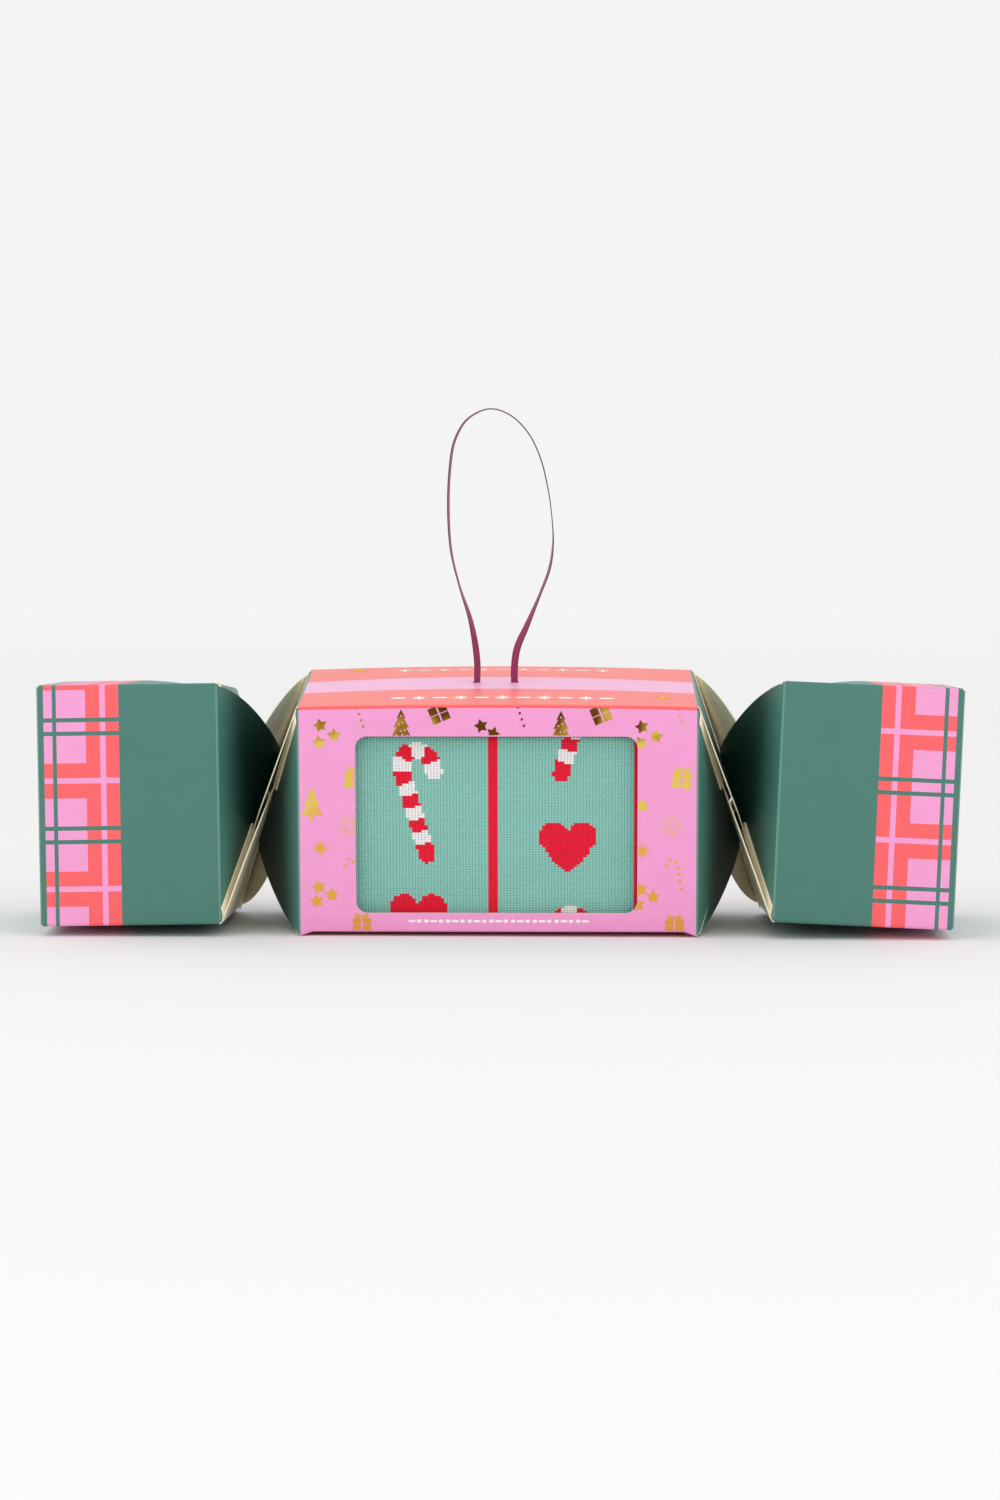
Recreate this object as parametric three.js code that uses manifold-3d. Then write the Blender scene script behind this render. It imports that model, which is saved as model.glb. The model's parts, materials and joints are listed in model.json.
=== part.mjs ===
// Christmas cracker gift carton that holds a folded pair of socks.
// One blank of printed paperboard makes a square centre box, two twisted necks and two end boxes,
// and each end box shuts with a tuck lid over two dust flaps.
// Millimetres, +Z up, +X to the right and the front towards -Y. The origin is on the surface
// that the carton stands on, under the middle of its outline.
import * as THREE from "three";
import { mergeVertices } from "three/addons/utils/BufferGeometryUtils.js";
import Module from "manifold-3d";

const wasm = await Module();
wasm.setup();

const degrees = THREE.MathUtils.degToRad;

// Board and folds
const board = 0.4; // thickness of the paperboard
const clearance = 0.3; // gap that neighbouring pieces keep
const foldRadius = 1.2; // outer radius of the folded edges
const foldSegments = 3; // facets of a folded edge

// Boxes and necks
const panelHeight = 80.6; // width of the front and back panels of the centre box
const panelDepth = 83.3; // width of its top and bottom panels
const centreLength = 137.4;
const neckLength = 27.6; // with the neck twisted shut
const endLength = 61.5;
const leftTwist = degrees(82); // the swirl springs back a little from a quarter turn
const rightTwist = degrees(82);
const leftDroop = degrees(0.9); // how far the outer end of the left end box hangs
const rightDroop = degrees(2.6);

// Window in the front panel
const windowWidth = 97;
const windowHeight = 61.5;
const windowRadius = 4;
const windowShift = -0.9; // from the middle of the panel to the right
const windowDrop = 1.2; // from the middle of the panel down

// Petals of the necks, two to each panel, that meet at a diagonal crease
const petalReach = 0.61; // share of the diagonal that a petal covers
const petalCrown = [0.355, 0.57]; // control point of the curved edge, along the diagonal and base
const lipWidth = 2; // strip along the rest of the diagonal
const lipStop = 9; // from the end of the strip to the corner that it points at
const cornerRelief = 2.4; // from the toe of a petal to the corner
const petalSegments = 12;

// Glued seams
const seamWidth = 12;
const seamSetback = 4; // from the ends of the centre box
const seamBevel = 3;

// Lids of the end boxes
const tongueDepth = 12;
const tongueCorner = 7; // radius of the tongue's corners
const tongueClearance = 1.1; // room for the tongue to swing past the mouth
const dustLength = 34;
const dustRelief = 4; // room between a dust flap and the tongue
const dustRest = 0.5; // from the underside of the lid to a dust flap

// Ribbon: the route of its middle as [x, height above the top panel], seen from the front
const ribbonWidth = 3;
const ribbonThickness = 0.5;
const ribbonTurn = 38; // length over which it turns from flat to edge on
const ribbonTuck = 1; // length below the top of the panel
const ribbonSteps = 78;
const slitClearance = 0.35;
const ribbonRoute = [
  [-7.9, 0], [-7.9, 7.7], [-10, 21], [-14.1, 34], [-16.9, 46], [-17.8, 60], [-17.2, 74.5],
  [-15.5, 84], [-11, 91.4], [-3.4, 94.9], [3.4, 93], [9.7, 87.2], [14.1, 78.8], [16.9, 68],
  [18.3, 58.5], [18.8, 48.7], [17.6, 39.9], [14.1, 30.5], [9.7, 20], [6.2, 11.9], [5.2, 5], [5.2, 0],
];
const ribbonSway = 2.2; // how far the loop leans back at its top

// Knot under the top panel
const knotRadius = 2.6;
const knotTail = 13;

// Socks
const sockLength = 130;
const sockThickness = 29;
const frontSockHeight = 73;
const backSockHeight = 64;
const sockRecess = 3.4; // from the inside of the front panel to the front sock
const sockFold = 1.2; // slot between the two layers of a folded sock
const sockRounding = 6;
const sockGap = 1;

const halfLength = centreLength / 2;
const halfHeight = panelHeight / 2;
const halfDepth = panelDepth / 2;

// Colours of the printed and plain board, the ribbon and the yarn
const green = new THREE.MeshStandardMaterial({ color: 0x3f8571, roughness: 0.55, metalness: 0 });
const pink = new THREE.MeshStandardMaterial({ color: 0xf3a2d2, roughness: 0.5, metalness: 0 });
const cream = new THREE.MeshStandardMaterial({ color: 0xe9dcb8, roughness: 0.8, metalness: 0 });
const plum = new THREE.MeshStandardMaterial({ color: 0x8e1f56, roughness: 0.35, metalness: 0 });
const mint = new THREE.MeshStandardMaterial({ color: 0x79c4ae, roughness: 0.95, metalness: 0 });

function toManifold(geometry) {
  const plain = geometry.clone();
  plain.deleteAttribute("normal");
  plain.deleteAttribute("uv");
  const merged = mergeVertices(plain, 1e-4);
  return new wasm.Manifold(new wasm.Mesh({
    numProp: 3,
    vertProperties: new Float32Array(merged.attributes.position.array),
    triVerts: new Uint32Array(merged.index.array),
  }));
}

function toGeometry(solid) {
  const mesh = solid.getMesh();
  const geometry = new THREE.BufferGeometry();
  geometry.setAttribute("position", new THREE.BufferAttribute(mesh.vertProperties, 3));
  geometry.setIndex(new THREE.BufferAttribute(mesh.triVerts, 1));
  return geometry;
}

function named(name, geometry, material) {
  const mesh = new THREE.Mesh(geometry, material);
  mesh.name = name;
  return mesh;
}

// Traces a rectangle with round corners into a shape or a hole
function roundedRectangle(path, width, height, radius) {
  const x = width / 2;
  const y = height / 2;
  path.moveTo(-x + radius, -y);
  path.lineTo(x - radius, -y);
  path.absarc(x - radius, -y + radius, radius, -Math.PI / 2, 0);
  path.lineTo(x, y - radius);
  path.absarc(x - radius, y - radius, radius, 0, Math.PI / 2);
  path.lineTo(-x + radius, y);
  path.absarc(-x + radius, y - radius, radius, Math.PI / 2, Math.PI);
  path.lineTo(-x, -y + radius);
  path.absarc(-x + radius, -y + radius, radius, Math.PI, 1.5 * Math.PI);
  return path;
}

function extrude(shape, depth, curveSegments = foldSegments) {
  return new THREE.ExtrudeGeometry(shape, { depth, curveSegments, bevelEnabled: false });
}

// Turns a shape drawn in Y and Z and extruded upwards so that it runs along X
const alongX = new THREE.Matrix4().makeBasis(
  new THREE.Vector3(0, 1, 0), new THREE.Vector3(0, 0, 1), new THREE.Vector3(1, 0, 0));

// Turns a shape drawn in X and Z and extruded upwards so that it runs back along Y
const alongY = new THREE.Matrix4().makeBasis(
  new THREE.Vector3(1, 0, 0), new THREE.Vector3(0, 0, 1), new THREE.Vector3(0, -1, 0));

// Folded tube of board from x = start to x = end
function sleeve(start, end) {
  const outline = roundedRectangle(new THREE.Shape(), panelDepth, panelHeight, foldRadius);
  outline.holes.push(roundedRectangle(
    new THREE.Path(), panelDepth - 2 * board, panelHeight - 2 * board, foldRadius - board));
  return extrude(outline, end - start).applyMatrix4(alongX).translate(start, 0, 0);
}

// Seam flap that is glued inside the bottom panel, next to the back panel
function seamFlap(start, end) {
  const outline = new THREE.Shape();
  outline.moveTo(start, 0);
  outline.lineTo(end, 0);
  outline.lineTo(end - seamBevel, seamWidth);
  outline.lineTo(start + seamBevel, seamWidth);
  const flap = extrude(outline, board);
  flap.rotateX(Math.PI);
  flap.translate(0, halfDepth - foldRadius - clearance, -halfHeight + 2 * board + clearance);
  return flap;
}

function centreSleeve() {
  const pane = roundedRectangle(new THREE.Shape(), windowWidth, windowHeight, windowRadius);
  const windowCutter = extrude(pane, 4 * foldRadius, 6).applyMatrix4(alongY);
  windowCutter.translate(windowShift, -halfDepth + 2 * foldRadius, -windowDrop);
  let solid = toManifold(sleeve(-halfLength + clearance, halfLength - clearance));
  solid = solid.subtract(toManifold(windowCutter));
  for (const [x] of [ribbonRoute.at(0), ribbonRoute.at(-1)]) {
    const slit = new THREE.BoxGeometry(
      ribbonWidth + 2 * slitClearance, ribbonThickness + 2 * slitClearance, 4 * board);
    slit.translate(x, 0, halfHeight);
    solid = solid.subtract(toManifold(slit));
  }
  return toGeometry(solid);
}

// Corners of the box section, in the order that the swirl turns: each panel runs to the next
const corners = [[1, 1], [-1, 1], [-1, -1], [1, -1]].map(([back, up]) =>
  new THREE.Vector3(0, back * (halfDepth - board / 2), up * (halfHeight - board / 2)));
const panels = ["top", "front", "bottom", "back"];

// One petal: its base runs from heel to toe, its crease from the heel towards the tip. Across the
// crease lies the other petal of its panel, whose free corner is mate. Inside, it nests against
// a petal of the next panel, so it is set off towards its mate by half the room of two boards.
function petal(heel, toe, tip, mate) {
  const along = tip.clone().sub(heel);
  const creaseLength = along.length();
  along.normalize();
  const [across, mateAcross] = [toe, mate].map((corner) => {
    const arm = corner.clone().sub(heel);
    return arm.addScaledVector(along, -arm.dot(along)).normalize();
  });
  const normal = along.clone().cross(across);
  const setOff = (board + clearance) / 2;
  const halfValley = across.angleTo(mateAcross) / 2;
  const relief = setOff * (1 + Math.cos(halfValley)) / Math.sin(halfValley);

  const base = toe.clone().sub(heel);
  const baseLength = base.length();
  const baseAngle = base.angleTo(along);
  const place = (s, t) => new THREE.Vector2(
    s * creaseLength + t * baseLength * Math.cos(baseAngle), t * baseLength * Math.sin(baseAngle));
  // The base keeps a gap to the fold that it starts from
  const inset = new THREE.Vector2(Math.sin(baseAngle), -Math.cos(baseAngle));
  inset.multiplyScalar(clearance);
  const heelShare = (relief - inset.y) / Math.sin(baseAngle) / baseLength;
  const heelPoint = place(0, heelShare).add(inset);
  const rim = place(0, 1 - cornerRelief / baseLength).add(inset);
  const crown = place(...petalCrown);

  const outline = new THREE.Shape();
  outline.moveTo(heelPoint.x, heelPoint.y);
  outline.lineTo(rim.x, rim.y);
  outline.quadraticCurveTo(crown.x, crown.y, petalReach * creaseLength, relief + lipWidth);
  outline.lineTo(creaseLength - lipStop, relief + lipWidth);
  outline.lineTo(creaseLength - lipStop, relief);
  const geometry = extrude(outline, board, petalSegments);
  geometry.translate(0, 0, Math.sign(normal.dot(mateAcross)) * setOff - board / 2);
  return geometry.applyMatrix4(
    new THREE.Matrix4().makeBasis(along, across, normal).setPosition(heel));
}

// An end box in its own frame: the neck at x = 0, the mouth at x = endLength, and its panels
// placed as those of the centre box before the twist. side is 1 on the right and -1 on the left.
function endBox(sideName, side) {
  const box = new THREE.Group();
  const place = (geometry) => (side > 0 ? geometry : mirrored(geometry));
  box.add(named(`${sideName}_end_sleeve`, place(sleeve(clearance, endLength)), green));

  const seam = seamFlap(seamSetback, endLength - tongueDepth - seamSetback);
  box.add(named(`${sideName}_end_glue_flap`, place(seam), green));

  // The lid covers the mouth from the top panel and stops inside the bottom one
  const lidInside = endLength + clearance;
  const lidFoot = -halfHeight + board + tongueClearance;
  const lidDrop = halfHeight - clearance - lidFoot;
  const lid = new THREE.BoxGeometry(board, panelDepth - 2 * clearance, lidDrop);
  lid.translate(lidInside + board / 2, 0, lidFoot + lidDrop / 2);
  box.add(named(`${sideName}_lid`, place(lid), green));

  // The tongue tucks in behind the bottom panel
  const tongueWidth = panelDepth - 2 * board - 4 * clearance;
  const tongueLength = tongueDepth - clearance;
  const tongueShape = new THREE.Shape();
  tongueShape.moveTo(lidInside - clearance, -tongueWidth / 2);
  tongueShape.lineTo(lidInside - clearance, tongueWidth / 2);
  tongueShape.lineTo(lidInside - tongueLength + tongueCorner, tongueWidth / 2);
  tongueShape.absarc(lidInside - tongueLength + tongueCorner, tongueWidth / 2 - tongueCorner,
    tongueCorner, Math.PI / 2, Math.PI);
  tongueShape.lineTo(lidInside - tongueLength, -tongueWidth / 2 + tongueCorner);
  tongueShape.absarc(lidInside - tongueLength + tongueCorner, -tongueWidth / 2 + tongueCorner,
    tongueCorner, Math.PI, 1.5 * Math.PI);
  const tongue = extrude(tongueShape, board, 6).translate(0, 0, lidFoot);
  box.add(named(`${sideName}_lid_tongue`, place(tongue), green));

  // Dust flaps fold in from the front and back panels and taper towards the lid's fold
  const dustTop = halfHeight - board - 2 * clearance;
  const dustFoot = lidFoot + board + dustRelief;
  const dustRoot = halfDepth - board - clearance;
  const dustFace = lidInside - dustRest - board;
  for (const [flapName, facing] of [["lower", -1], ["upper", 1]]) {
    const shape = new THREE.Shape();
    shape.moveTo(facing * dustRoot, dustTop);
    shape.lineTo(facing * (dustRoot - dustLength), dustTop - dustLength);
    shape.lineTo(facing * (dustRoot - dustLength), dustFoot + dustRelief);
    shape.lineTo(facing * (dustRoot - dustLength + dustRelief), dustFoot);
    shape.lineTo(facing * dustRoot, dustFoot);
    const flap = extrude(shape, board).applyMatrix4(alongX).translate(dustFace, 0, 0);
    box.add(named(`${sideName}_${flapName}_dust_flap`, place(flap), green));
  }
  return box;
}

// A mirror image across X = 0, with its faces turned to point outwards again
function mirrored(geometry) {
  const copy = geometry.index ? geometry.toNonIndexed() : geometry.clone();
  copy.scale(-1, 1, 1);
  const position = copy.attributes.position;
  const first = new THREE.Vector3();
  const second = new THREE.Vector3();
  for (let corner = 0; corner < position.count; corner += 3) {
    first.fromBufferAttribute(position, corner + 1);
    second.fromBufferAttribute(position, corner + 2);
    position.setXYZ(corner + 1, second.x, second.y, second.z);
    position.setXYZ(corner + 2, first.x, first.y, first.z);
  }
  copy.deleteAttribute("normal");
  copy.deleteAttribute("uv");
  return copy;
}

// An end box with its twist and droop, and the eight petals that join it to the centre box
function endWithNeck(sideName, side, twist, droop) {
  const assembly = new THREE.Group();
  const hinge = new THREE.Group();
  hinge.position.x = side * (halfLength + neckLength + endLength / 2);
  hinge.rotation.y = side * droop;
  const turned = new THREE.Group();
  turned.position.x = -side * endLength / 2;
  turned.rotation.x = twist;
  turned.add(endBox(sideName, side));
  hinge.add(turned);
  assembly.add(hinge);
  assembly.updateMatrixWorld(true);

  const start = new THREE.Vector3(side * halfLength, 0, 0);
  const bodyCorners = corners.map((corner) => corner.clone().add(start));
  const endCorners = corners.map((corner) => corner.clone().applyMatrix4(turned.matrixWorld));
  panels.forEach((name, index) => {
    const next = (index + 1) % 4;
    const bodyPetal = petal(
      bodyCorners[index], bodyCorners[next], endCorners[next], endCorners[index]);
    const endPetal = petal(
      endCorners[next], endCorners[index], bodyCorners[index], bodyCorners[next]);
    assembly.add(named(`${sideName}_neck_${name}_body_petal`, bodyPetal, green));
    assembly.add(named(`${sideName}_neck_${name}_end_petal`, endPetal, green));
  });
  return assembly;
}

// Middle line of the ribbon, with a straight tuck through each slit
function ribbonLine() {
  const top = Math.max(...ribbonRoute.map(([, height]) => height));
  const points = ribbonRoute.map(([x, height]) =>
    new THREE.Vector3(x, ribbonSway * (height / top) ** 2, halfHeight + height));
  const [first, last] = [points[0], points.at(-1)];
  points.unshift(first.clone().setZ(first.z - ribbonTuck));
  points.push(last.clone().setZ(last.z - ribbonTuck));
  return new THREE.CatmullRomCurve3(points, false, "centripetal");
}

// Flat ribbon: it leaves each slit facing the front and turns edge on as it rises
function ribbonLoop() {
  const line = ribbonLine();
  const length = line.getLength();
  const oval = new THREE.Shape();
  oval.absellipse(0, 0, ribbonWidth / 2, ribbonThickness / 2, 0, 2 * Math.PI);
  const geometry = new THREE.ExtrudeGeometry(oval,
    { depth: length, steps: ribbonSteps, curveSegments: 4, bevelEnabled: false });
  const position = geometry.attributes.position;
  const towardsBack = new THREE.Vector3(0, 1, 0);
  for (let index = 0; index < position.count; index++) {
    const travelled = THREE.MathUtils.clamp(position.getZ(index) / length, 0, 1);
    const fromSlit = Math.min(travelled, 1 - travelled) * length - ribbonTuck;
    const turn = THREE.MathUtils.smoothstep(fromSlit, 0, ribbonTurn) * Math.PI / 2;
    const tangent = line.getTangentAt(travelled);
    const sideways = towardsBack.clone().cross(tangent).normalize();
    const width = sideways.clone().applyAxisAngle(tangent, turn);
    const face = tangent.clone().cross(width);
    const point = line.getPointAt(travelled)
      .addScaledVector(width, position.getX(index))
      .addScaledVector(face, position.getY(index));
    position.setXYZ(index, point.x, point.y, point.z);
  }
  geometry.deleteAttribute("normal");
  return geometry;
}

// Both ends of the ribbon are knotted together under the top panel
function ribbonKnot() {
  const [left] = ribbonRoute.at(0);
  const [right] = ribbonRoute.at(-1);
  const middle = (left + right) / 2;
  const height = halfHeight - ribbonTuck - clearance - knotRadius;
  const wrap = new THREE.CapsuleGeometry(knotRadius, right - left, 4, 12);
  wrap.rotateZ(Math.PI / 2).translate(middle, 0, height);
  let knot = toManifold(wrap);
  for (const lean of [-1, 1]) {
    const tail = new THREE.BoxGeometry(ribbonWidth, ribbonThickness, knotTail);
    tail.translate(0, 0, -knotTail / 2).rotateY(lean * degrees(62));
    tail.translate(middle, lean * ribbonThickness * 1.5, height);
    knot = knot.add(toManifold(tail));
  }
  return toGeometry(knot);
}

// A sock folded in half: two layers that join in a round fold at one end
function foldedSock(height, foldSide) {
  const half = sockThickness / 2;
  const end = sockLength / 2;
  const outline = new THREE.Shape();
  outline.moveTo(end - sockRounding, half);
  outline.lineTo(-end + half, half);
  outline.absarc(-end + half, 0, half, Math.PI / 2, 1.5 * Math.PI);
  outline.lineTo(end - sockRounding, -half);
  outline.absarc(end - sockRounding, -half + sockRounding, sockRounding, -Math.PI / 2, 0);
  outline.lineTo(end, -sockFold / 2);
  outline.lineTo(-end + half, -sockFold / 2);
  outline.absarc(-end + half, 0, sockFold / 2, 1.5 * Math.PI, Math.PI / 2, true);
  outline.lineTo(end, sockFold / 2);
  outline.lineTo(end, half - sockRounding);
  outline.absarc(end - sockRounding, half - sockRounding, sockRounding, 0, Math.PI / 2);
  const sock = new THREE.ExtrudeGeometry(outline, {
    depth: height - 2 * sockRounding,
    curveSegments: 10,
    bevelThickness: sockRounding,
    bevelSize: sockRounding * 0.6,
    bevelOffset: -sockRounding * 0.6,
    bevelSegments: 3,
  });
  sock.translate(0, 0, sockRounding);
  return foldSide > 0 ? sock.rotateZ(Math.PI) : sock;
}

function socks() {
  const pair = new THREE.Group();
  const front = named("front_sock", foldedSock(frontSockHeight, -1), mint);
  const back = named("back_sock", foldedSock(backSockHeight, 1), mint);
  front.position.y = -halfDepth + board + sockRecess + sockThickness / 2;
  back.position.y = front.position.y + sockThickness + sockGap;
  for (const sock of [front, back]) {
    sock.position.z = -halfHeight + board + clearance;
    pair.add(sock);
  }
  return pair;
}

const carton = new THREE.Group();
carton.add(named("centre_sleeve", centreSleeve(), pink));
const centreSeam = seamFlap(-halfLength + seamSetback, halfLength - seamSetback);
carton.add(named("centre_glue_flap", centreSeam, cream));
carton.add(endWithNeck("left", -1, leftTwist, leftDroop));
carton.add(endWithNeck("right", 1, rightTwist, rightDroop));
carton.add(named("ribbon_loop", ribbonLoop(), plum));
carton.add(named("ribbon_knot", ribbonKnot(), plum));
carton.add(socks());

// The twisted end boxes reach lower at the back than the centre box does, so the carton leans
// forward until its front bottom edge and the back bottom edges of both end boxes touch down
function foot(side, twist, droop) {
  const edge = corners[2].clone().applyAxisAngle(new THREE.Vector3(1, 0, 0), twist);
  const outer = halfLength + neckLength + endLength;
  return edge.add(new THREE.Vector3(side * outer, 0, -Math.sin(droop) * endLength / 2));
}
const leftFoot = foot(-1, leftTwist, leftDroop);
const rightFoot = foot(1, rightTwist, rightDroop);
const backFoot = leftFoot.clone().add(rightFoot).multiplyScalar(0.5);
const lean = Math.atan2(corners[2].z - backFoot.z, backFoot.y - corners[2].y);
const roll = Math.atan2(rightFoot.z - leftFoot.z, rightFoot.x - leftFoot.x);
carton.rotation.set(lean, roll, 0);
carton.updateMatrixWorld(true);
const extent = new THREE.Box3().setFromObject(carton, true);
const middle = extent.getCenter(new THREE.Vector3());
carton.position.set(-middle.x, -middle.y, -extent.min.z);

const group = new THREE.Group();
group.add(carton);
export default group;
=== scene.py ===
import json
import math
from functools import partial

import bmesh
import bpy
from mathutils import Matrix, Vector
from mathutils.geometry import delaunay_2d_cdt


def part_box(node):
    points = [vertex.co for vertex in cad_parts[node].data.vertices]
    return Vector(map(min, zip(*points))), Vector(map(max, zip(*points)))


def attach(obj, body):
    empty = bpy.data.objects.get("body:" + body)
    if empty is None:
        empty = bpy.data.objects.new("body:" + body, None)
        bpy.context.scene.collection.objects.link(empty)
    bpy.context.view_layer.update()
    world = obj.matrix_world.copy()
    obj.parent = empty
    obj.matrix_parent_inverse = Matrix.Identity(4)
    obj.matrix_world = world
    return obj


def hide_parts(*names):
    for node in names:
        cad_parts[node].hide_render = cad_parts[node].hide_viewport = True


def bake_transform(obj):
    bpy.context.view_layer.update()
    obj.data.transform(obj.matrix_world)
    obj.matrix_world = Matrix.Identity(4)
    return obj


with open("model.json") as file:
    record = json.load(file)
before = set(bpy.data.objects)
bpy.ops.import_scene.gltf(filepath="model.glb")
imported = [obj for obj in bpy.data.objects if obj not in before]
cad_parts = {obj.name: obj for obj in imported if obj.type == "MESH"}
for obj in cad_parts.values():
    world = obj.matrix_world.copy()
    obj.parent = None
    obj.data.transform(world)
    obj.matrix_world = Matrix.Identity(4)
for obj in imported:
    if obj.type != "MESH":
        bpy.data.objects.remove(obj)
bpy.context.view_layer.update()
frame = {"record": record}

mm = 0.001
record = frame["record"]
scene = bpy.context.scene
scene.view_settings.view_transform = "Standard"


def putInScene(name, data):
    thing = bpy.data.objects.new(name, data)
    scene.collection.objects.link(thing)
    return thing


# Camera where the photograph was taken from, its focal length in pixels of a 1000 x 1500 picture
cameraValues = {
    "eye": (23.4, -1475.1, 172.7), "pitch": 4.29, "yaw": -0.93, "roll": 0.14,
    "focal": 4184.1, "pictureHeight": 1500, "sensor": 36, "farthest": 40,
}


def placeCamera(values):
    pitch, yaw, roll = (math.radians(values[key]) for key in ("pitch", "yaw", "roll"))
    data = bpy.data.cameras.new("camera")
    data.sensor_width = values["sensor"]
    data.lens = values["focal"] * values["sensor"] / values["pictureHeight"]
    data.clip_end = values["farthest"]
    scene.camera = putInScene("camera", data)
    scene.camera.matrix_world = (
        Matrix.Translation(Vector(values["eye"]) * mm) @ Matrix.Rotation(-yaw, 4, "Z")
        @ Matrix.Rotation(math.pi / 2 - pitch, 4, "X") @ Matrix.Rotation(roll, 4, "Z"))


placeCamera(cameraValues)


def linear(code):
    parts = [int(code[i:i + 2], 16) / 255 for i in (1, 3, 5)]
    return [c / 12.92 if c <= 0.04045 else ((c + 0.055) / 1.055) ** 2.4 for c in parts] + [1]


# A node given as a value stands for its first output in use, and a hex code for its colour
def setInputs(node, inputs):
    for key, value in inputs.items() if isinstance(inputs, dict) else enumerate(inputs):
        if isinstance(value, bpy.types.Node):
            value = next(socket for socket in value.outputs if socket.enabled)
        if isinstance(value, bpy.types.NodeSocket):
            node.id_data.links.new(value, node.inputs[key])
        else:
            coloured = isinstance(value, str) and value.startswith("#")
            node.inputs[key].default_value = linear(value) if coloured else value


# Adds a node with its settings and links; a short kind is a shader node's
def addNode(tree, kind, inputs=(), **settings):
    node = tree.nodes.new(kind if "Node" in kind else f"ShaderNode{kind}")
    for key, value in settings.items():
        setattr(node, key, value)
    setInputs(node, inputs)
    return node


# The finish is given what adds the material's nodes, and gives back the inputs of its shader
def newMaterial(name, finish, *details):
    material = bpy.data.materials.new(name)
    material.use_nodes = True
    tree = material.node_tree
    setInputs(tree.nodes["Principled BSDF"], finish(partial(addNode, tree), *details))
    return material


# A colour ramp's stops: where each colour starts, or is reached
def fillRamp(node, stops, interpolation="LINEAR"):
    ramp = node.color_ramp
    ramp.interpolation = interpolation
    ramp.elements.remove(ramp.elements[1])
    ramp.elements[0].position, ramp.elements[0].color = stops[0]
    for start, colour in stops[1:]:
        ramp.elements.new(start).color = colour
    return node


def rework(mesh, *steps):
    work = bmesh.new()
    work.from_mesh(mesh)
    for step in steps:
        step(work)
    work.to_mesh(mesh)
    work.free()


def plainMesh(name, points, faces, *materials):
    mesh = bpy.data.meshes.new(name)
    mesh.from_pydata(points, [], faces)
    for material in materials:
        mesh.materials.append(material)
    return mesh


# Closed skin over rows of points, with a lid on its first row and one on its last
def skin(name, rows, material, layerName, uvAt, lidUv=None):
    count, last = len(rows[0]), len(rows) - 1
    sides = [[(i, j), (i, j + 1), (i + 1, j + 1), (i + 1, j)] for i in range(last) for j in range(count)]
    lids = [[(0, j) for j in reversed(range(count))], [(last, j) for j in range(count)]]
    faces = [[i * count + j % count for i, j in face] for face in sides + lids]
    mesh = plainMesh(name, [p * mm for row in rows for p in row], faces, material)
    flat = [c for face in sides for corner in face for c in uvAt(*corner)]
    flat += [c for face in lids for corner in face for c in (lidUv or uvAt)(*corner)]
    mesh.uv_layers.new(name=layerName).data.foreach_set("uv", flat)
    mesh.shade_smooth()
    rework(mesh, lambda work: bmesh.ops.recalc_face_normals(work, faces=work.faces))
    return putInScene(name, mesh)


# Hides the CAD nodes a piece stands for and hangs it on what it moves with
def handOver(piece, slot, body, *nodes):
    if nodes:
        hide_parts(*nodes)
    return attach(piece, body)


# The carton's sizes in millimetres, as its source has them
carton = {
    "panelHeight": 80.6, "panelDepth": 83.3, "centreLength": 137.4, "endLength": 61.5,
    "board": 0.4, "foldRadius": 1.2, "clearance": 0.3, "hingeOut": 0.1,
    "foldStrip": 0.4,  # from the end of a box to where its neck's print begins
}
halfLength = carton["centreLength"] / 2
halfHeight = carton["panelHeight"] / 2
halfDepth = carton["panelDepth"] / 2
board, clearance = carton["board"], carton["clearance"]
# Each panel of a box: where it starts, which way it runs and which way it faces
panelFrames = [tuple(Vector((0, y, z)) for y, z in places) for places in (
    ((halfDepth, halfHeight), (-1, 0), (0, 1)), ((-halfDepth, halfHeight), (0, -1), (-1, 0)),
    ((-halfDepth, -halfHeight), (1, 0), (0, -1)), ((halfDepth, -halfHeight), (0, 1), (1, 0)))]
foldPlaces = [0]
for width in ("panelDepth", "panelHeight") * 2:
    foldPlaces.append(foldPlaces[-1] + carton[width])
aroundBox = foldPlaces[-1]


def frameOf(origin, back, up):
    back, up = Vector(back).normalized(), Vector(up).normalized()
    right = back.cross(up).normalized()
    matrix = Matrix((right, back, right.cross(back))).transposed().to_4x4()
    matrix.translation = origin
    return matrix


# The frames of the three boxes, in millimetres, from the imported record
facing = {mount["name"]: Vector(mount["axis"]) for mount in record["mounts"]}
joints = {joint["name"]: joint for joint in record["behaviour"]["joints"]}
low, high = (Vector(corner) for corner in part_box("centre_sleeve"))
boxFrames = {"centre": frameOf((low + high) / 2 / mm, facing["back_panel"], -facing["base_panel"])}
for sideName, side in (("left", -1), ("right", 1)):
    lid, flap = joints[f"{sideName}_lid_hinge"], joints[f"{sideName}_upper_dust_hinge"]
    matrix = frameOf((0, 0, 0), -side * Vector(lid["axis"]), side * Vector(flap["axis"]))
    onHinge = Vector((side * (carton["endLength"] + carton["hingeOut"]), 0, halfHeight - board / 2))
    matrix.translation = Vector(lid["pos_m"]) / mm - matrix @ onHinge
    boxFrames[sideName] = matrix


def smooth(value, start, end):
    t = min(max((value - start) / (end - start), 0), 1)
    return t * t * (3 - 2 * t)


def between(table, value):
    for (x1, y1), (x2, y2) in zip(table, table[1:]):
        if value <= x2:
            return y1 + (y2 - y1) * smooth(value, x1, x2)
    return table[-1][1]


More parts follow.
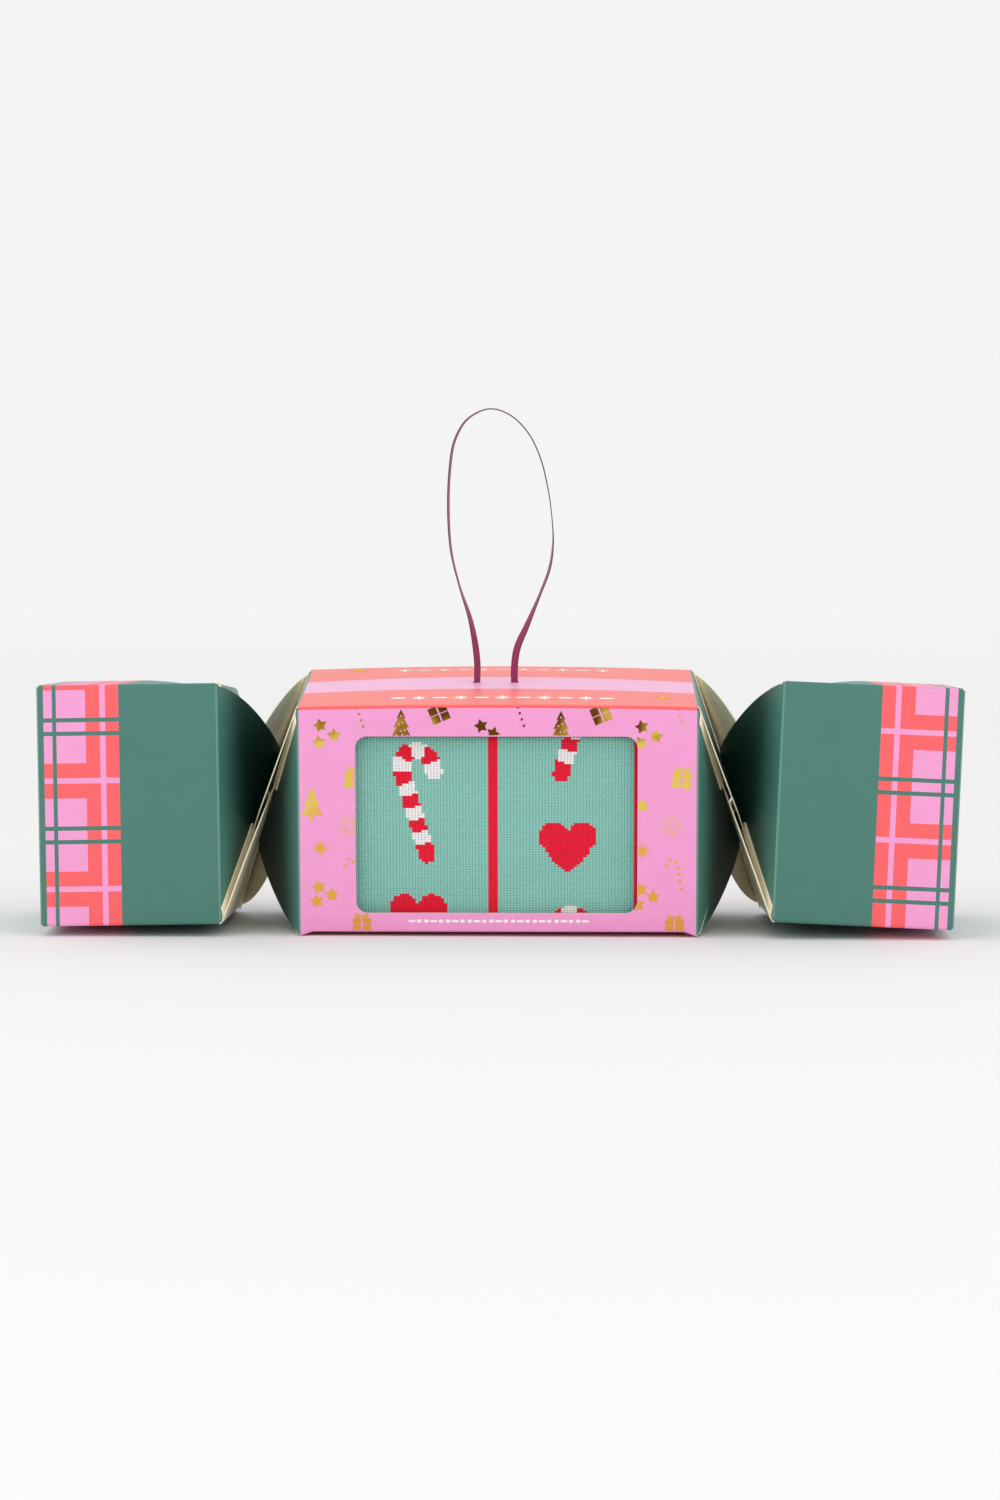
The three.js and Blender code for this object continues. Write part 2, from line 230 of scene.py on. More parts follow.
# Ribbon: a 3 mm woven satin ribbon through both slits, knotted inside
ribbon = {
    "width": 3.0, "thickness": 0.36, "turn": (9.0, 38.0), "tuck": 1.0, "sway": 2.2, "samples": 150,
    "lift": 2.0, "stretch": 1.012,  # the crowned panel carries the slits up
    "startTurn": (44.0, 36.0),  # how far each end is turned in its slit, in degrees
    "lean": [(0, 0), (0.15, 4), (0.3, 13), (0.42, 14), (0.5, 9), (0.62, 6), (0.7, 1), (0.8, 14),
             (0.87, 5), (1, 0)],
    "route": [
        (-7.9, 0), (-7.9, 7.7), (-10, 21), (-14.1, 34), (-16.9, 46), (-17.8, 60), (-17.2, 74.5),
        (-15.5, 84), (-11, 91.4), (-3.4, 94.9), (3.4, 93), (9.7, 87.2), (14.1, 78.8), (16.9, 68),
        (18.3, 58.5), (18.8, 48.7), (17.6, 39.9), (14.1, 30.5), (9.7, 20), (6.2, 11.9), (5.2, 5),
        (5.2, 0),
    ],
    # One side of its cut, as shares of half the width and half the thickness
    "section": [(-1, 0.2), (-0.9, 0.85), (-0.6, 1), (0, 0.9), (0.6, 1), (0.9, 0.85), (1, 0.2)],
    "knotRadius": 2.6, "knotSamples": 120, "knotSpread": (0.19, 0.27, 0.42), "knotSection": (0.55, 0.5),
    "knotWeave": 0.35,
}


# A line through all points that bends evenly, cut into equal steps
def evenLine(points, count, fineSteps=24):
    ends = [points[0] * 2 - points[1]] + points + [points[-1] * 2 - points[-2]]
    fine = []
    for knots in zip(ends, ends[1:], ends[2:], ends[3:]):
        times = [0.0]
        for a, b in zip(knots, knots[1:]):
            times.append(times[-1] + (b - a).length ** 0.5)
        for step in range(fineSteps):
            t = times[1] + (times[2] - times[1]) * step / fineSteps
            level = list(knots)
            for spans in (zip(times, times[1:]), zip(times, times[2:]), [times[1:3]]):
                level = [(a * (stop - t) + b * (t - begin)) / (stop - begin)
                         for a, b, (begin, stop) in zip(level, level[1:], spans)]
            fine.append(level[0])
    fine.append(points[-1])
    travelled = [0.0]
    for a, b in zip(fine, fine[1:]):
        travelled.append(travelled[-1] + (b - a).length)
    line, index = [], 0
    for step in range(count + 1):
        target = travelled[-1] * step / count
        while index < len(fine) - 2 and travelled[index + 1] < target:
            index += 1
        share = (target - travelled[index]) / (travelled[index + 1] - travelled[index])
        line.append(fine[index].lerp(fine[index + 1], min(max(share, 0), 1)))
    return line, travelled[-1]


# Double-face satin: long floats across the ribbon give a soft sheen that follows its width,
# and a woven edge stands a little prouder and darker
def satinWeave(add):
    uv = add("UVMap", uv_map="weave")
    place = add("SeparateXYZ", [uv]).outputs
    fromEdge = add("Math", [place["X"], 0.5], operation="SUBTRACT")
    fromEdge = add("Math", [fromEdge], operation="ABSOLUTE")
    edge = add("MapRange", {"Value": fromEdge, "From Min": 0.36, "From Max": 0.47})
    threads = add("Math", [place["Y"], 18.0], operation="MULTIPLY")
    threads = add("Math", [threads], operation="SINE")
    grain = add("TexNoise", {"Vector": uv, "Scale": 6.0, "Detail": 3.0})
    body = add("Mix", {"Factor": grain, "A": "#78124a", "B": "#a3225f"}, data_type="RGBA")
    colour = add("Mix", {"Factor": edge, "A": body, "B": "#4a0a30"}, data_type="RGBA")
    bump = add("Bump", {"Height": threads, "Strength": 0.25, "Distance": 0.00006})
    return {"Base Color": colour, "Normal": bump, "Roughness": 0.38, "Anisotropic": 0.5,
            "Sheen Weight": 0.1, "Sheen Roughness": 0.4}


def makeRibbon():
    values, matrix = ribbon, boxFrames["centre"]
    satin = newMaterial("woven polyester satin, plum", satinWeave)
    half, thick = values["width"] / 2, values["thickness"] / 2
    section = values["section"] + [(x, -y) for x, y in reversed(values["section"])]
    acrossUv = lambda j: section[j % len(section)][0] / 2 + 0.5

    # The loop
    top = max(height for _, height in values["route"])
    points = [Vector((x, values["sway"] * (height / top) ** 2,
                      halfHeight + values["lift"] + height * values["stretch"]))
              for x, height in values["route"]]
    hidden = values["tuck"] + values["lift"]
    below = Vector((0, 0, hidden))
    points = [points[0] - below] + points + [points[-1] - below]
    line, length = evenLine(points, values["samples"])
    rows = []
    for index, point in enumerate(line):
        before, after = line[max(index - 1, 0)], line[min(index + 1, len(line) - 1)]
        tangent = (after - before).normalized()
        share = index / values["samples"]
        fromSlit = min(share, 1 - share) * length - hidden
        start = values["startTurn"][0 if share < 0.5 else 1]
        edgeOn = 90 - between(values["lean"], share)
        turn = math.radians(start + (edgeOn - start) * smooth(fromSlit, *values["turn"]))
        sideways = Vector((0, 1, 0)).cross(tangent).normalized()
        across = Matrix.Rotation(turn, 3, tangent) @ sideways
        face = tangent.cross(across)
        rows.append([matrix @ (point + across * x * half + face * y * thick) for x, y in section])
    piece = skin("ribbonLoop", rows, satin, "weave",
                 lambda i, j: (acrossUv(j), i / values["samples"] * length))
    handOver(piece, "satin_ribbon", "centre_box", "ribbon_loop")

    # Its two ends meet in a knot under the top panel, a closed trefoil
    left, right = values["route"][0][0], values["route"][-1][0]
    radius, count = values["knotRadius"], values["knotSamples"]
    middle = Vector(((left + right) / 2, 0, halfHeight - values["tuck"] - clearance - radius))
    wide, deep, tall = values["knotSpread"]
    turns = [step / count * 2 * math.pi for step in range(count)]
    knotLine = [middle + Vector(((math.sin(a) + 2 * math.sin(2 * a)) * (right - left) * wide,
                                 (math.cos(a) - 2 * math.cos(2 * a)) * radius * deep,
                                 -math.sin(3 * a) * radius * tall)) for a in turns]
    rows = []
    for index, point in enumerate(knotLine):
        tangent = (knotLine[(index + 1) % count] - knotLine[index - 1]).normalized()
        out = point - middle
        out = (out - tangent * out.dot(tangent)).normalized()
        across = tangent.cross(out)
        wider, thicker = values["knotSection"]
        rows.append([matrix @ (point + across * x * half * wider + out * y * thicker)
                     for x, y in section])
    rows.append(rows[0])
    knot = skin("ribbonKnot", rows, satin, "weave", lambda i, j: (acrossUv(j), i * values["knotWeave"]))
    handOver(knot, "satin_ribbon", "centre_box", "ribbon_knot")
    path = [matrix @ point * mm for point in line[::3]]
    tuple(path[0])
    [tuple(p) for p in path]


makeRibbon()
print("ribbon threaded")


def inRing(x, y, ring):
    hit = False
    for (x1, y1), (x2, y2) in zip(ring, ring[1:] + ring[:1]):
        if (y1 > y) != (y2 > y) and x < (x2 - x1) * (y - y1) / (y2 - y1) + x1:
            hit = not hit
    return hit


# Whether the middle of some points is on a blank
def inBlank(points, ring, holes):
    x, y = (sum(levels) / len(points) for levels in zip(*points))
    return inRing(x, y, ring) and not any(inRing(x, y, hole) for hole in holes)


# Points and edges of closed rings and open lines, which a triangulation has to keep
def drawn(rings, lines=()):
    points, edges = [], []
    for line, closed in [(ring, True) for ring in rings] + [(line, False) for line in lines]:
        start, count = len(points), len(line)
        points += line
        edges += [(start + i, start + (i + 1) % count) for i in range(count if closed else count - 1)]
    return points, edges


# Triangles of a flat blank, with vertices along its creases and on a grid
def cutBlank(outline, holes=(), creases=(), pitch=4.0):
    points, edges = drawn((outline, *holes), creases)
    starts, sizes = [], []
    for axis in (0, 1):
        levels = [point[axis] for point in outline]
        starts.append(min(levels))
        sizes.append(max(levels) - min(levels))
    columns, rows = (max(1, round(size / pitch)) for size in sizes)
    for i in range(1, columns):
        for j in range(1, rows):
            spot = (starts[0] + sizes[0] * i / columns, starts[1] + sizes[1] * j / rows)
            if inBlank([spot], outline, holes):
                points.append(spot)
    found, _, faces, *_ = delaunay_2d_cdt([Vector(p) for p in points], edges, [], 0, 1e-3)
    found = [(p.x, p.y) for p in found]
    return found, [list(face) for face in faces if inBlank([found[i] for i in face], outline, holes)]


# Cut blanks that are folded into one mesh: printed outside, bare inside and along the cut edge
class Board:
    def __init__(self):
        self.points, self.faces, self.uvs, self.slots, self.wear = [], [], [], [], []

    def add(self, blank, place, wear=None, seam=None, outerSlot=0):
        flat, triangles = blank
        start, count = len(self.points), len(flat)
        outer, inner = ([place(u, v, depth) for u, v in flat] for depth in (0, board))
        self.points += outer + inner
        self.wear += [wear(u, v) if wear else 0.0 for u, v in flat] * 2
        a, b, c = triangles[0]
        normal = (outer[b] - outer[a]).cross(outer[c] - outer[a])
        turned = normal.dot(outer[a] - inner[a]) < 0

        def put(ring, shift, slot):
            self.faces.append([start + i + layer * count for i, layer in zip(ring, shift)])
            self.uvs += [c / 100 for i in ring for c in flat[i]]
            self.slots.append(slot)

        used = {}
        for triangle in triangles:
            ring = triangle[::-1] if turned else triangle
            put(ring, [0] * len(ring), outerSlot)
            put(ring[::-1], [1] * len(ring), 1)
            used.update(dict.fromkeys(zip(ring, ring[1:] + ring[:1])))
        for i, j in used:
            if (j, i) not in used and not (seam and seam(flat[i]) and seam(flat[j])):
                put([j, i, i, j], [0, 0, 1, 1], 2)
        return self

    def build(self, name, materials, merge=0.02, sharp=40):
        mesh = plainMesh(name, [p * mm for p in self.points], self.faces, *materials)
        mesh.uv_layers.new(name="blank").data.foreach_set("uv", self.uvs)
        # Above zero this attribute marks worn ink with a painted highlight along folds, below zero painted
        # shade
        mesh.attributes.new("foldWear", "FLOAT", "POINT").data.foreach_set("value", self.wear)
        mesh.polygons.foreach_set("material_index", self.slots)
        rework(mesh, lambda work: bmesh.ops.remove_doubles(work, verts=work.verts, dist=merge * mm),
               lambda work: bmesh.ops.dissolve_degenerate(work, edges=work.edges, dist=1e-7))
        mesh.shade_smooth()
        mesh.set_sharp_from_angle(angle=math.radians(sharp))
        return putInScene(name, mesh)


# The top panel's pink and coral are lighter copies, a painted sheen; the valley green is painted shade in the
# neck valleys; the crease green is worn ink and a painted highlight along folds
inks = {
    "pink": "#f49fd2", "coral": "#fb6265", "green": "#467c70", "topPink": "#f3b4d8",
    "topCoral": "#f97b74", "crease": "#8fb8a4", "valley": "#06211b",
}
# Where each ink starts on the flat centre box, in mm round it from the back edge of the top panel
centreStripes = [(0, "topCoral"), (29.5, "topPink"), (54.5, "topCoral"), (82.5, "coral"), (83.4, "pink"),
                 (164.1, "coral"), (247.4, "pink")]
tartan = {
    # Warp, from the mouth inwards, and weft, which repeats: where each ink starts, in mm
    "warp": [(0, "green"), (1.5, "pink"), (4.5, "green"), (6.0, "pink"), (15.9, "coral"),
             (20.9, "thin"), (22.8, "coral"), (27.6, "green")],
    "weft": [(0, "coral"), (5.1, "thin"), (6.9, "coral"), (12.1, "pink"), (21.7, "green"),
             (23.2, "pink"), (26.4, "green"), (27.9, "pink")],
    "reach": 70.0, "repeat": 37.4, "leftStart": -10.4, "rightStart": 9.6,
}


# In the tartan, red marks coral, green the thin line and blue the ground
tartanMarks = {"pink": (0, 0, 0, 1), "coral": (1, 0, 0, 1), "thin": (0, 1, 0, 1), "green": (0, 0, 1, 1)}


# Hard-edged stripes along a place in mm
def stripes(add, place, span, stops, colours):
    share = add("Math", [place, span], operation="DIVIDE")
    return fillRamp(add("ValToRGB", [share]), [(start / span, colours[ink]) for start, ink in stops],
                    "CONSTANT")


# Board stock: the lacquer's fine orange peel, cloudy ink, and lighter ink along folds that is partly worn
# ink and partly a painted highlight. Below zero, the value is painted shade in the neck valleys, a darker
# green
def lacquer(add, colour, roughness):
    where = add("TexCoord").outputs["Object"]
    peel = add("TexNoise", {"Vector": where, "Scale": 1400.0, "Detail": 3.0})
    cloud = add("TexNoise", {"Vector": where, "Scale": 120.0, "Detail": 4.0})
    value = add("MapRange", {"Value": cloud, "To Min": 0.94, "To Max": 1.06})
    colour = add("HueSaturation", {"Color": colour, "Value": value})
    # Painted shade mixed in below zero, then worn ink with a painted highlight above zero
    for strength, ink in ((-0.9, "valley"), (0.32, "crease")):
        wear = add("Attribute", attribute_name="foldWear").outputs["Fac"]
        share = add("Math", [wear, strength], operation="MULTIPLY", use_clamp=True)
        colour = add("Mix", {"Factor": share, "A": colour, "B": inks[ink]}, data_type="RGBA")
    bump = add("Bump", {"Height": peel, "Strength": 0.12, "Distance": 0.00004})
    return {"Base Color": colour, "Normal": bump, "Roughness": roughness, "Specular IOR Level": 0.4}


# The place on the flat blank, in mm: along the box and round it
def blankPlace(add):
    uv = add("UVMap", uv_map="blank")
    place = add("SeparateXYZ", [uv]).outputs
    return [add("Math", [place[axis], 100.0], operation="MULTIPLY") for axis in "XY"]


# Satin lacquered folding boxboard, offset printed: flat pink with coral stripes on the top panel, where both
# are painted lighter as a painted sheen
def centrePrint(add):
    colours = {name: linear(code) for name, code in inks.items()}
    return lacquer(add, stripes(add, blankPlace(add)[1], aroundBox, centreStripes, colours), 0.4)


# The same board in flat green, with a tartan border printed along the mouth of the box
def endPrint(add, sideName):
    along, around = blankPlace(add)
    repeat = tartan["repeat"]
    fromMouth = add("Math", [carton["endLength"], along], operation="SUBTRACT")
    shifted = add("Math", [around, repeat - tartan[f"{sideName}Start"]],
                      operation="ADD")
    wrapped = add("Math", [shifted, repeat], operation="MODULO")
    warp, weft = (
        add("SeparateColor", [stripes(add, place, span, tartan[yarns], tartanMarks)]).outputs
        for place, span, yarns in ((fromMouth, tartan["reach"], "warp"), (wrapped, repeat, "weft")))
    coral, thin, ground = (
        add("Math", [warp[mark], weft[mark]], operation="MAXIMUM") for mark in ("Red", "Green", "Blue"))
    notThin = add("Math", [1.0, thin], operation="SUBTRACT")
    coral = add("Math", [coral, notThin], operation="MULTIPLY")
    colour = inks["pink"]
    for share, ink in ((coral, "coral"), (ground, "green")):
        colour = add("Mix", {"Factor": share, "A": colour, "B": inks[ink]}, data_type="RGBA")
    return lacquer(add, colour, 0.42)


# Unprinted back of the board and its cut edge: cream, matt, with short pressed fibres
def bareBoard(add):
    where = add("TexCoord").outputs["Object"]
    stretched = add("Mapping", {"Vector": where, "Scale": (1.0, 1.0, 3.0)})
    fibre = add("TexNoise", {"Vector": stretched, "Scale": 900.0, "Detail": 5.0})
    ramp = fillRamp(add("ValToRGB", [fibre]), [(0, linear("#f3e6c2")), (1, linear("#fff8e2"))])
    bump = add("Bump", {"Height": fibre, "Strength": 0.25, "Distance": 0.00005})
    return {"Base Color": ramp, "Normal": bump, "Roughness": 0.85}


centreInk = newMaterial("lacquered boxboard, pink and coral print", centrePrint)
plainInk = newMaterial("lacquered boxboard, green print", lacquer, inks["green"], 0.42)
bare = newMaterial("bare boxboard", bareBoard)
endInks = {name: newMaterial(f"lacquered boxboard, green and tartan print, {name}", endPrint, name)
           for name in ("left", "right")}
print("materials of the board ready")

# Centre box: its window and slits, and how the full carton bulges
centreBox = {
    "window": (97.0, 61.5), "windowRadius": 4.0, "windowMiddle": (-0.5, -1.15),
    "slits": (-7.9, 5.2), "slit": (3.7, 1.2), "slitRadius": 0.3,
    # Rise of the top panel from back to front, and the height above which the panels follow it
    "crown": [(0, 1.3), (0.27, 2.1), (0.62, 1.8), (1, 0.8)], "crownFrom": 5,
    # The bottom front fold is pressed in, from this line down and as far back as the depth says
    "tuckLine": 6.6, "tuckIn": 1.1, "tuckUp": 1.3, "tuckCorner": 3.9, "tuckDepth": 11,
}


def relaxCentre(point):
    values = centreBox
    middle = max(1 - (point.x / halfLength) ** 2, 0)
    rise = between(values["crown"], (halfDepth - point.y) / (2 * halfDepth))
    rise *= smooth(point.z, values["crownFrom"], halfHeight)
    flank = min(max((halfLength - carton["foldStrip"] - abs(point.x)) / values["tuckCorner"], 0), 1)
    pressed = min(max((values["tuckLine"] - halfHeight - point.z) / values["tuckLine"], 0), 1) * flank
    pressed *= 1 - smooth(point.y, -halfDepth, -halfDepth + values["tuckDepth"])
    return Vector((0, pressed * values["tuckIn"], middle * rise + pressed * values["tuckUp"]))


# Folds the flat blank of a box round its four corners; u runs along the box and v around it
def boxPlace(matrix, relax):
    radius = carton["foldRadius"]

    def place(u, v, depth):
        v = min(max(v, 0), aroundBox)
        index = min(range(5), key=lambda i: abs(v - foldPlaces[i]))
        if abs(v - foldPlaces[index]) < radius:
            corner, along, out = panelFrames[index % 4]
            before = panelFrames[(index - 1) % 4][2]
            angle = (v - foldPlaces[index] + radius) / (2 * radius) * math.pi / 2
            point = (corner + (along - out) * radius
                     + (before * math.cos(angle) + out * math.sin(angle)) * (radius - depth))
        else:
            index = max(i for i in range(4) if v >= foldPlaces[i])
            corner, along, out = panelFrames[index]
            point = corner + along * (v - foldPlaces[index]) - out * depth
        point = point + Vector((u, 0, 0))
        return matrix @ (point + relax(point))
    return place


# A straight line along the box, with enough points on it to follow the bulge
def lengthways(start, end, v, step=4.0):
    count = max(1, round((end - start) / step))
    return [(start + (end - start) * k / count, v) for k in range(count + 1)]


def roundedRing(width, height, radius, x, y, steps=6):
    ring = []
    for turn, (sx, sy) in enumerate(((1, 1), (-1, 1), (-1, -1), (1, -1))):
        for step in range(steps + 1):
            angle = (turn + step / steps) * math.pi / 2
            ring.append((x + sx * (width / 2 - radius) + radius * math.cos(angle),
                         y + sy * (height / 2 - radius) + radius * math.sin(angle)))
    return ring


def onSeam(point):
    return not 0.01 <= point[1] <= aroundBox - 0.01


def boxBlank(start, end, holes=(), creases=(), pitch=4.0):
    outline = lengthways(start, end, 0) + lengthways(start, end, aroundBox)[::-1]
    levels = [fold + carton["foldRadius"] * step / 3 for fold in foldPlaces for step in range(-3, 4)]
    folds = [lengthways(start, end, v) for v in levels if 0.01 < v < aroundBox - 0.01]
    return cutBlank(outline, holes, folds + list(creases), pitch)


def makeCentreBox(values):
    reach = halfLength - carton["foldStrip"]
    x, z = values["windowMiddle"]
    window = roundedRing(*values["window"], values["windowRadius"], x, foldPlaces[1] + halfHeight - z)
    slits = [roundedRing(*values["slit"], values["slitRadius"], slit, halfDepth, 2)
             for slit in values["slits"]]
    tuck = lengthways(-reach, reach, foldPlaces[2] - values["tuckLine"])
    folded = Board().add(boxBlank(-reach, reach, [window, *slits], [tuck]),
                         boxPlace(boxFrames["centre"], relaxCentre), seam=onSeam)
    handOver(folded.build("centreBox", [centreInk, bare, bare]),
             "pink_printed_board", "centre_box", "centre_sleeve")


makeCentreBox(centreBox)
print("centre box folded")


# Foil shapes stamped on the panels: where each kind stands (mm from the middle of its panel) and
# its turn in degrees, if any. Shapes next to the window are cut off by it.
foil = {
    "lift": 0.04, "edge": 39.4, "topSize": 1.25, "windowRoom": 0.3,
    "front": {
        "star": [(-60.9, 33.6, 15), (-56.2, 30.1, -70), (-61.3, 27.7, 10), (49.4, 33.0, 15),
                 (54.3, 29.8, -8), (49.1, 27.4, 30), (-61.8, -22.8, 15), (-57.4, -25.6, -70),
                 (-62.6, -27.8, 10), (49.3, -23.7, 15), (53.5, -26.2, -70), (48.3, -29.0, 10),
                 (-5.7, 32.9, 15), (-1.6, 30.3, -20), (49.6, 5.8, 10)],
        "tree": [(-33.1, 33.0), (21.7, 32.4), (-64.0, 6.4)],
        "gift": [(-20.1, 37.2, 22), (35.4, 37.2, 22), (-49.4, 14.8, -4), (63.2, 14.9, -5),
                 (-47.1, -36.6), (60.9, -36.9)],
        "dots": [(-47.1, 36.0), (8.0, 36.0), (62.8, 36.0)],
        "cane": [(-50.2, -18.2), (60.7, -18.2)],
        "flake": [(-51.3, -1.3), (60.2, -1.2)],
        "spark": [(-61.3, -9.1), (49.6, -10.0)],
    },
    "filling": {  # more of the same behind, where no window is cut
        "tree": [(-33.1, 8.0), (21.7, 4.0), (22.0, -22.0)],
        "gift": [(35.0, -14.0, 15), (-20.0, -14.0, -12)],
        "flake": [(8.0, -20.0), (35.0, 12.0), (-19.0, 16.0)],
        "star": [(-6.0, -26.0, 15), (8.0, 14.0, 20)],
        "cane": [(-33.0, -20.0)], "spark": [(-5.7, 8.0)],
    },
    "top": {"spark": [(-50.9, 34.4), (56.8, -25.0)]},
}
# Rows of ornaments in cream ink: first place, pitch, level, how many, size and the kinds in turn
cream = {
    "front": [(-29.8, 2.5, -35.1, 25, 0.55, ("lozenge", "bead", "bead"))],
    "top": [(-34.5, 7.2, -29.0, 11, 1.15, ("lozenge", "spark")),
            (-34.5, 7.1, 30.0, 11, 1.15, ("spark", "lozenge"))],
}


def foilPlaces(name, size=1.0):
    return [(x, y, kind, turn[0] if turn else 0, size)
            for kind, spots in foil[name].items() for x, y, *turn in spots]


def creamPlaces(name):
    return [(start + pitch * step, level, kinds[step % len(kinds)], 0, size)
            for start, pitch, level, count, size, kinds in cream[name] for step in range(count)]


def ringOf(count, radii, turn=90.0, x=0.0, y=0.0):
    angles = [math.radians(turn + 360 * i / count) for i in range(count)]
    return [(x + radii[i % len(radii)] * math.cos(angle), y + radii[i % len(radii)] * math.sin(angle))
            for i, angle in enumerate(angles)]


def boxRing(x, y, width, height):
    return [(x + sx * width / 2, y + sy * height / 2) for sx, sy in ((-1, -1), (1, -1), (1, 1), (-1, 1))]


# Outlines of each kind in mm, and the holes left in them
def foilOutlines():
    half = [(1.6, 2.6), (0.9, 2.8), (2.7, -0.6), (1.6, -0.3), (3.75, -4.3), (0.6, -3.9), (0.6, -5.8)]
    tree = [(0, 5.8)] + half + [(-x, y) for x, y in reversed(half)]
    holes = [ringOf(6, [0.36], 0, x, y) for x, y in (
        (0, 3.5), (0.5, 1.2), (-0.9, 0.6), (1.2, -1.3), (-0.2, -1.6), (2.2, -3.2), (0.4, -2.9), (-1.6, -3.0))]
    gift = [boxRing(x, y, 2.9, 2.7) for x in (-1.75, 1.75) for y in (-1.6, 1.4)]
    gift += [[(0, 3.0), (s * 2.1, 2.9), (s * 2.4, 4.7), (s * 0.2, 3.7)] for s in (-1, 1)]
    dots = [ringOf(4, [0.62, 0.5], 70, x, y) for x, y in ((-1.1, 3.4), (-0.4, 1.3), (0.3, -0.8), (1.0, -3.0))]
    cane = [ringOf(5, [0.7, 0.55], 50, x, y) for x, y in (
        (-2.5, 2.9), (-1.45, 5.2), (0.43, 4.3), (1.3, 2.3), (1.66, 0), (2.0, -2.6), (2.5, -5.3))]
    flake = [ringOf(4, [0.4], 45 + 60 * arm, *spot) for arm in range(6) for reach in (2.2, 3.5)
             for spot in ringOf(1, [reach], 30 + 60 * arm)]
    for angle in range(0, 360, 60):
        (ax, ay), (sx, sy) = ringOf(1, [1], angle)[0], ringOf(1, [1], angle + 90)[0]
        flake.append([(ax * r + sx * w, ay * r + sy * w)
                      for r, w in ((0.9, -0.16), (3.6, -0.16), (3.6, 0.16), (0.9, 0.16))])
    return {
        "star": ([ringOf(10, [2.5, 1.35])], []), "tree": ([tree], holes), "gift": (gift, []),
        "dots": (dots, []), "cane": (cane, []), "flake": (flake, []),
        "spark": ([ringOf(16, [3.6, 1.1, 2.9, 1.1])], []), "bead": ([ringOf(12, [1.5])], []),
        "lozenge": ([ringOf(12, [2.6, 1.9, 1.1, 1.1, 1.1, 1.9], 0)], []),
    }


# Stands a shape on every point: its kind, turn and size come from the point
def stampTree():
    tree = bpy.data.node_groups.new("stampShapes", "GeometryNodeTree")
    for name, kind in (("Geometry", "Geometry"), ("Shapes", "Collection"), ("Foil", "Material"),
                       ("Growth", "Float")):
        tree.interface.new_socket(name, in_out="INPUT", socket_type=f"NodeSocket{kind}")
    tree.interface.new_socket("Geometry", in_out="OUTPUT", socket_type="NodeSocketGeometry")
    add = partial(addNode, tree)
    given = add("NodeGroupInput").outputs
    shapes = add("GeometryNodeCollectionInfo",
                     {"Collection": given["Shapes"], "Separate Children": True, "Reset Children": True})
    kind, turn, size = (
        add("GeometryNodeInputNamedAttribute", {"Name": name}, data_type=sort)
        for name, sort in (("kind", "INT"), ("turn", "FLOAT"), ("size", "FLOAT")))
    grown = add("Math", [size, given["Growth"]], operation="MULTIPLY")
    angle = add("CombineXYZ", {"Z": turn})
    placed = add("GeometryNodeInstanceOnPoints", {
        "Points": given["Geometry"], "Instance": shapes, "Pick Instance": True,
        "Instance Index": kind, "Rotation": angle, "Scale": grown})
    real = add("GeometryNodeRealizeInstances", [placed])
    dressed = add("GeometryNodeSetMaterial", {"Geometry": real, "Material": given["Foil"]})
    add("NodeGroupOutput", [dressed])
    return tree


def shapeCollection(outlines):
    collection = bpy.data.collections.new("stampedShapes")
    for index, kind in enumerate(sorted(outlines)):
        rings, holes = outlines[kind]
        points, faces = [], []
        for ring in rings + holes:
            faces.append(list(range(len(points), len(points) + len(ring))))
            points += [(x, y, 0) for x, y in ring]
        mesh = plainMesh(f"shape{index:02d}", points, faces)
        flags = mesh.attributes.new("isHole", "INT", "FACE")
        flags.data.foreach_set("value", [0] * len(rings) + [1] * len(holes))
        collection.objects.link(bpy.data.objects.new(f"shape{index:02d}", mesh))
    return collection


outlines = foilOutlines()
shapes, stamp = shapeCollection(outlines), stampTree()


# Stamps the shapes on a flat sheet and cuts them along creases and the window
def stampPanel(places, material, toBlank, cuts=(), hole=None, limit=99.0):
    points = plainMesh("stampPoints", [(x, y, 0) for x, y, *_ in places], [])
    worths = {"kind": [sorted(outlines).index(place[2]) for place in places],
              "turn": [math.radians(place[3]) for place in places],
              "size": [place[4] for place in places]}
    for key, worth in worths.items():
        sort = "INT" if key == "kind" else "FLOAT"
        points.attributes.new(key, sort, "POINT").data.foreach_set("value", worth)
    sheet = putInScene("stampPoints", points)
    modifier = sheet.modifiers.new("stamp", "NODES")
    modifier.node_group = stamp
    sockets = {item.name: item.identifier for item in stamp.interface.items_tree if item.in_out == "INPUT"}
    for name, given in (("Shapes", shapes), ("Foil", material), ("Growth", 1.0)):
        modifier[sockets[name]] = given
    flat = bpy.data.meshes.new_from_object(sheet.evaluated_get(bpy.context.evaluated_depsgraph_get()))
    bpy.data.objects.remove(sheet)
    solids, gaps, found, used = [], [], [], []
    for face, flag in zip(flat.polygons, flat.attributes["isHole"].data):
        (gaps if flag.value else solids).append([tuple(flat.vertices[i].co.xy) for i in face.vertices])
    if hole:
        gaps.append(hole)
    for ring in solids:
        (left, right), (low, high) = ((min(levels), max(levels)) for levels in zip(*ring))
        near = [gap for gap in gaps if gap is hole or left < gap[0][0] < right and low < gap[0][1] < high]
        lines = [[(left - 1, level), (right + 1, level)] for level in cuts if low < level < high]
        spread, edges = drawn([ring, *near], lines)
        corners, _, faces, *_ = delaunay_2d_cdt([Vector(p) for p in spread], edges, [], 0, 1e-4)
        start = len(found)
        found += [(c.x, c.y) for c in corners]
        for face in faces:
            spots = [corners[i] for i in face]
            if abs(sum(spot.y for spot in spots) / len(spots)) < limit and inBlank(spots, ring, near):
                used.append([start + i for i in face])
    return found, used, toBlank


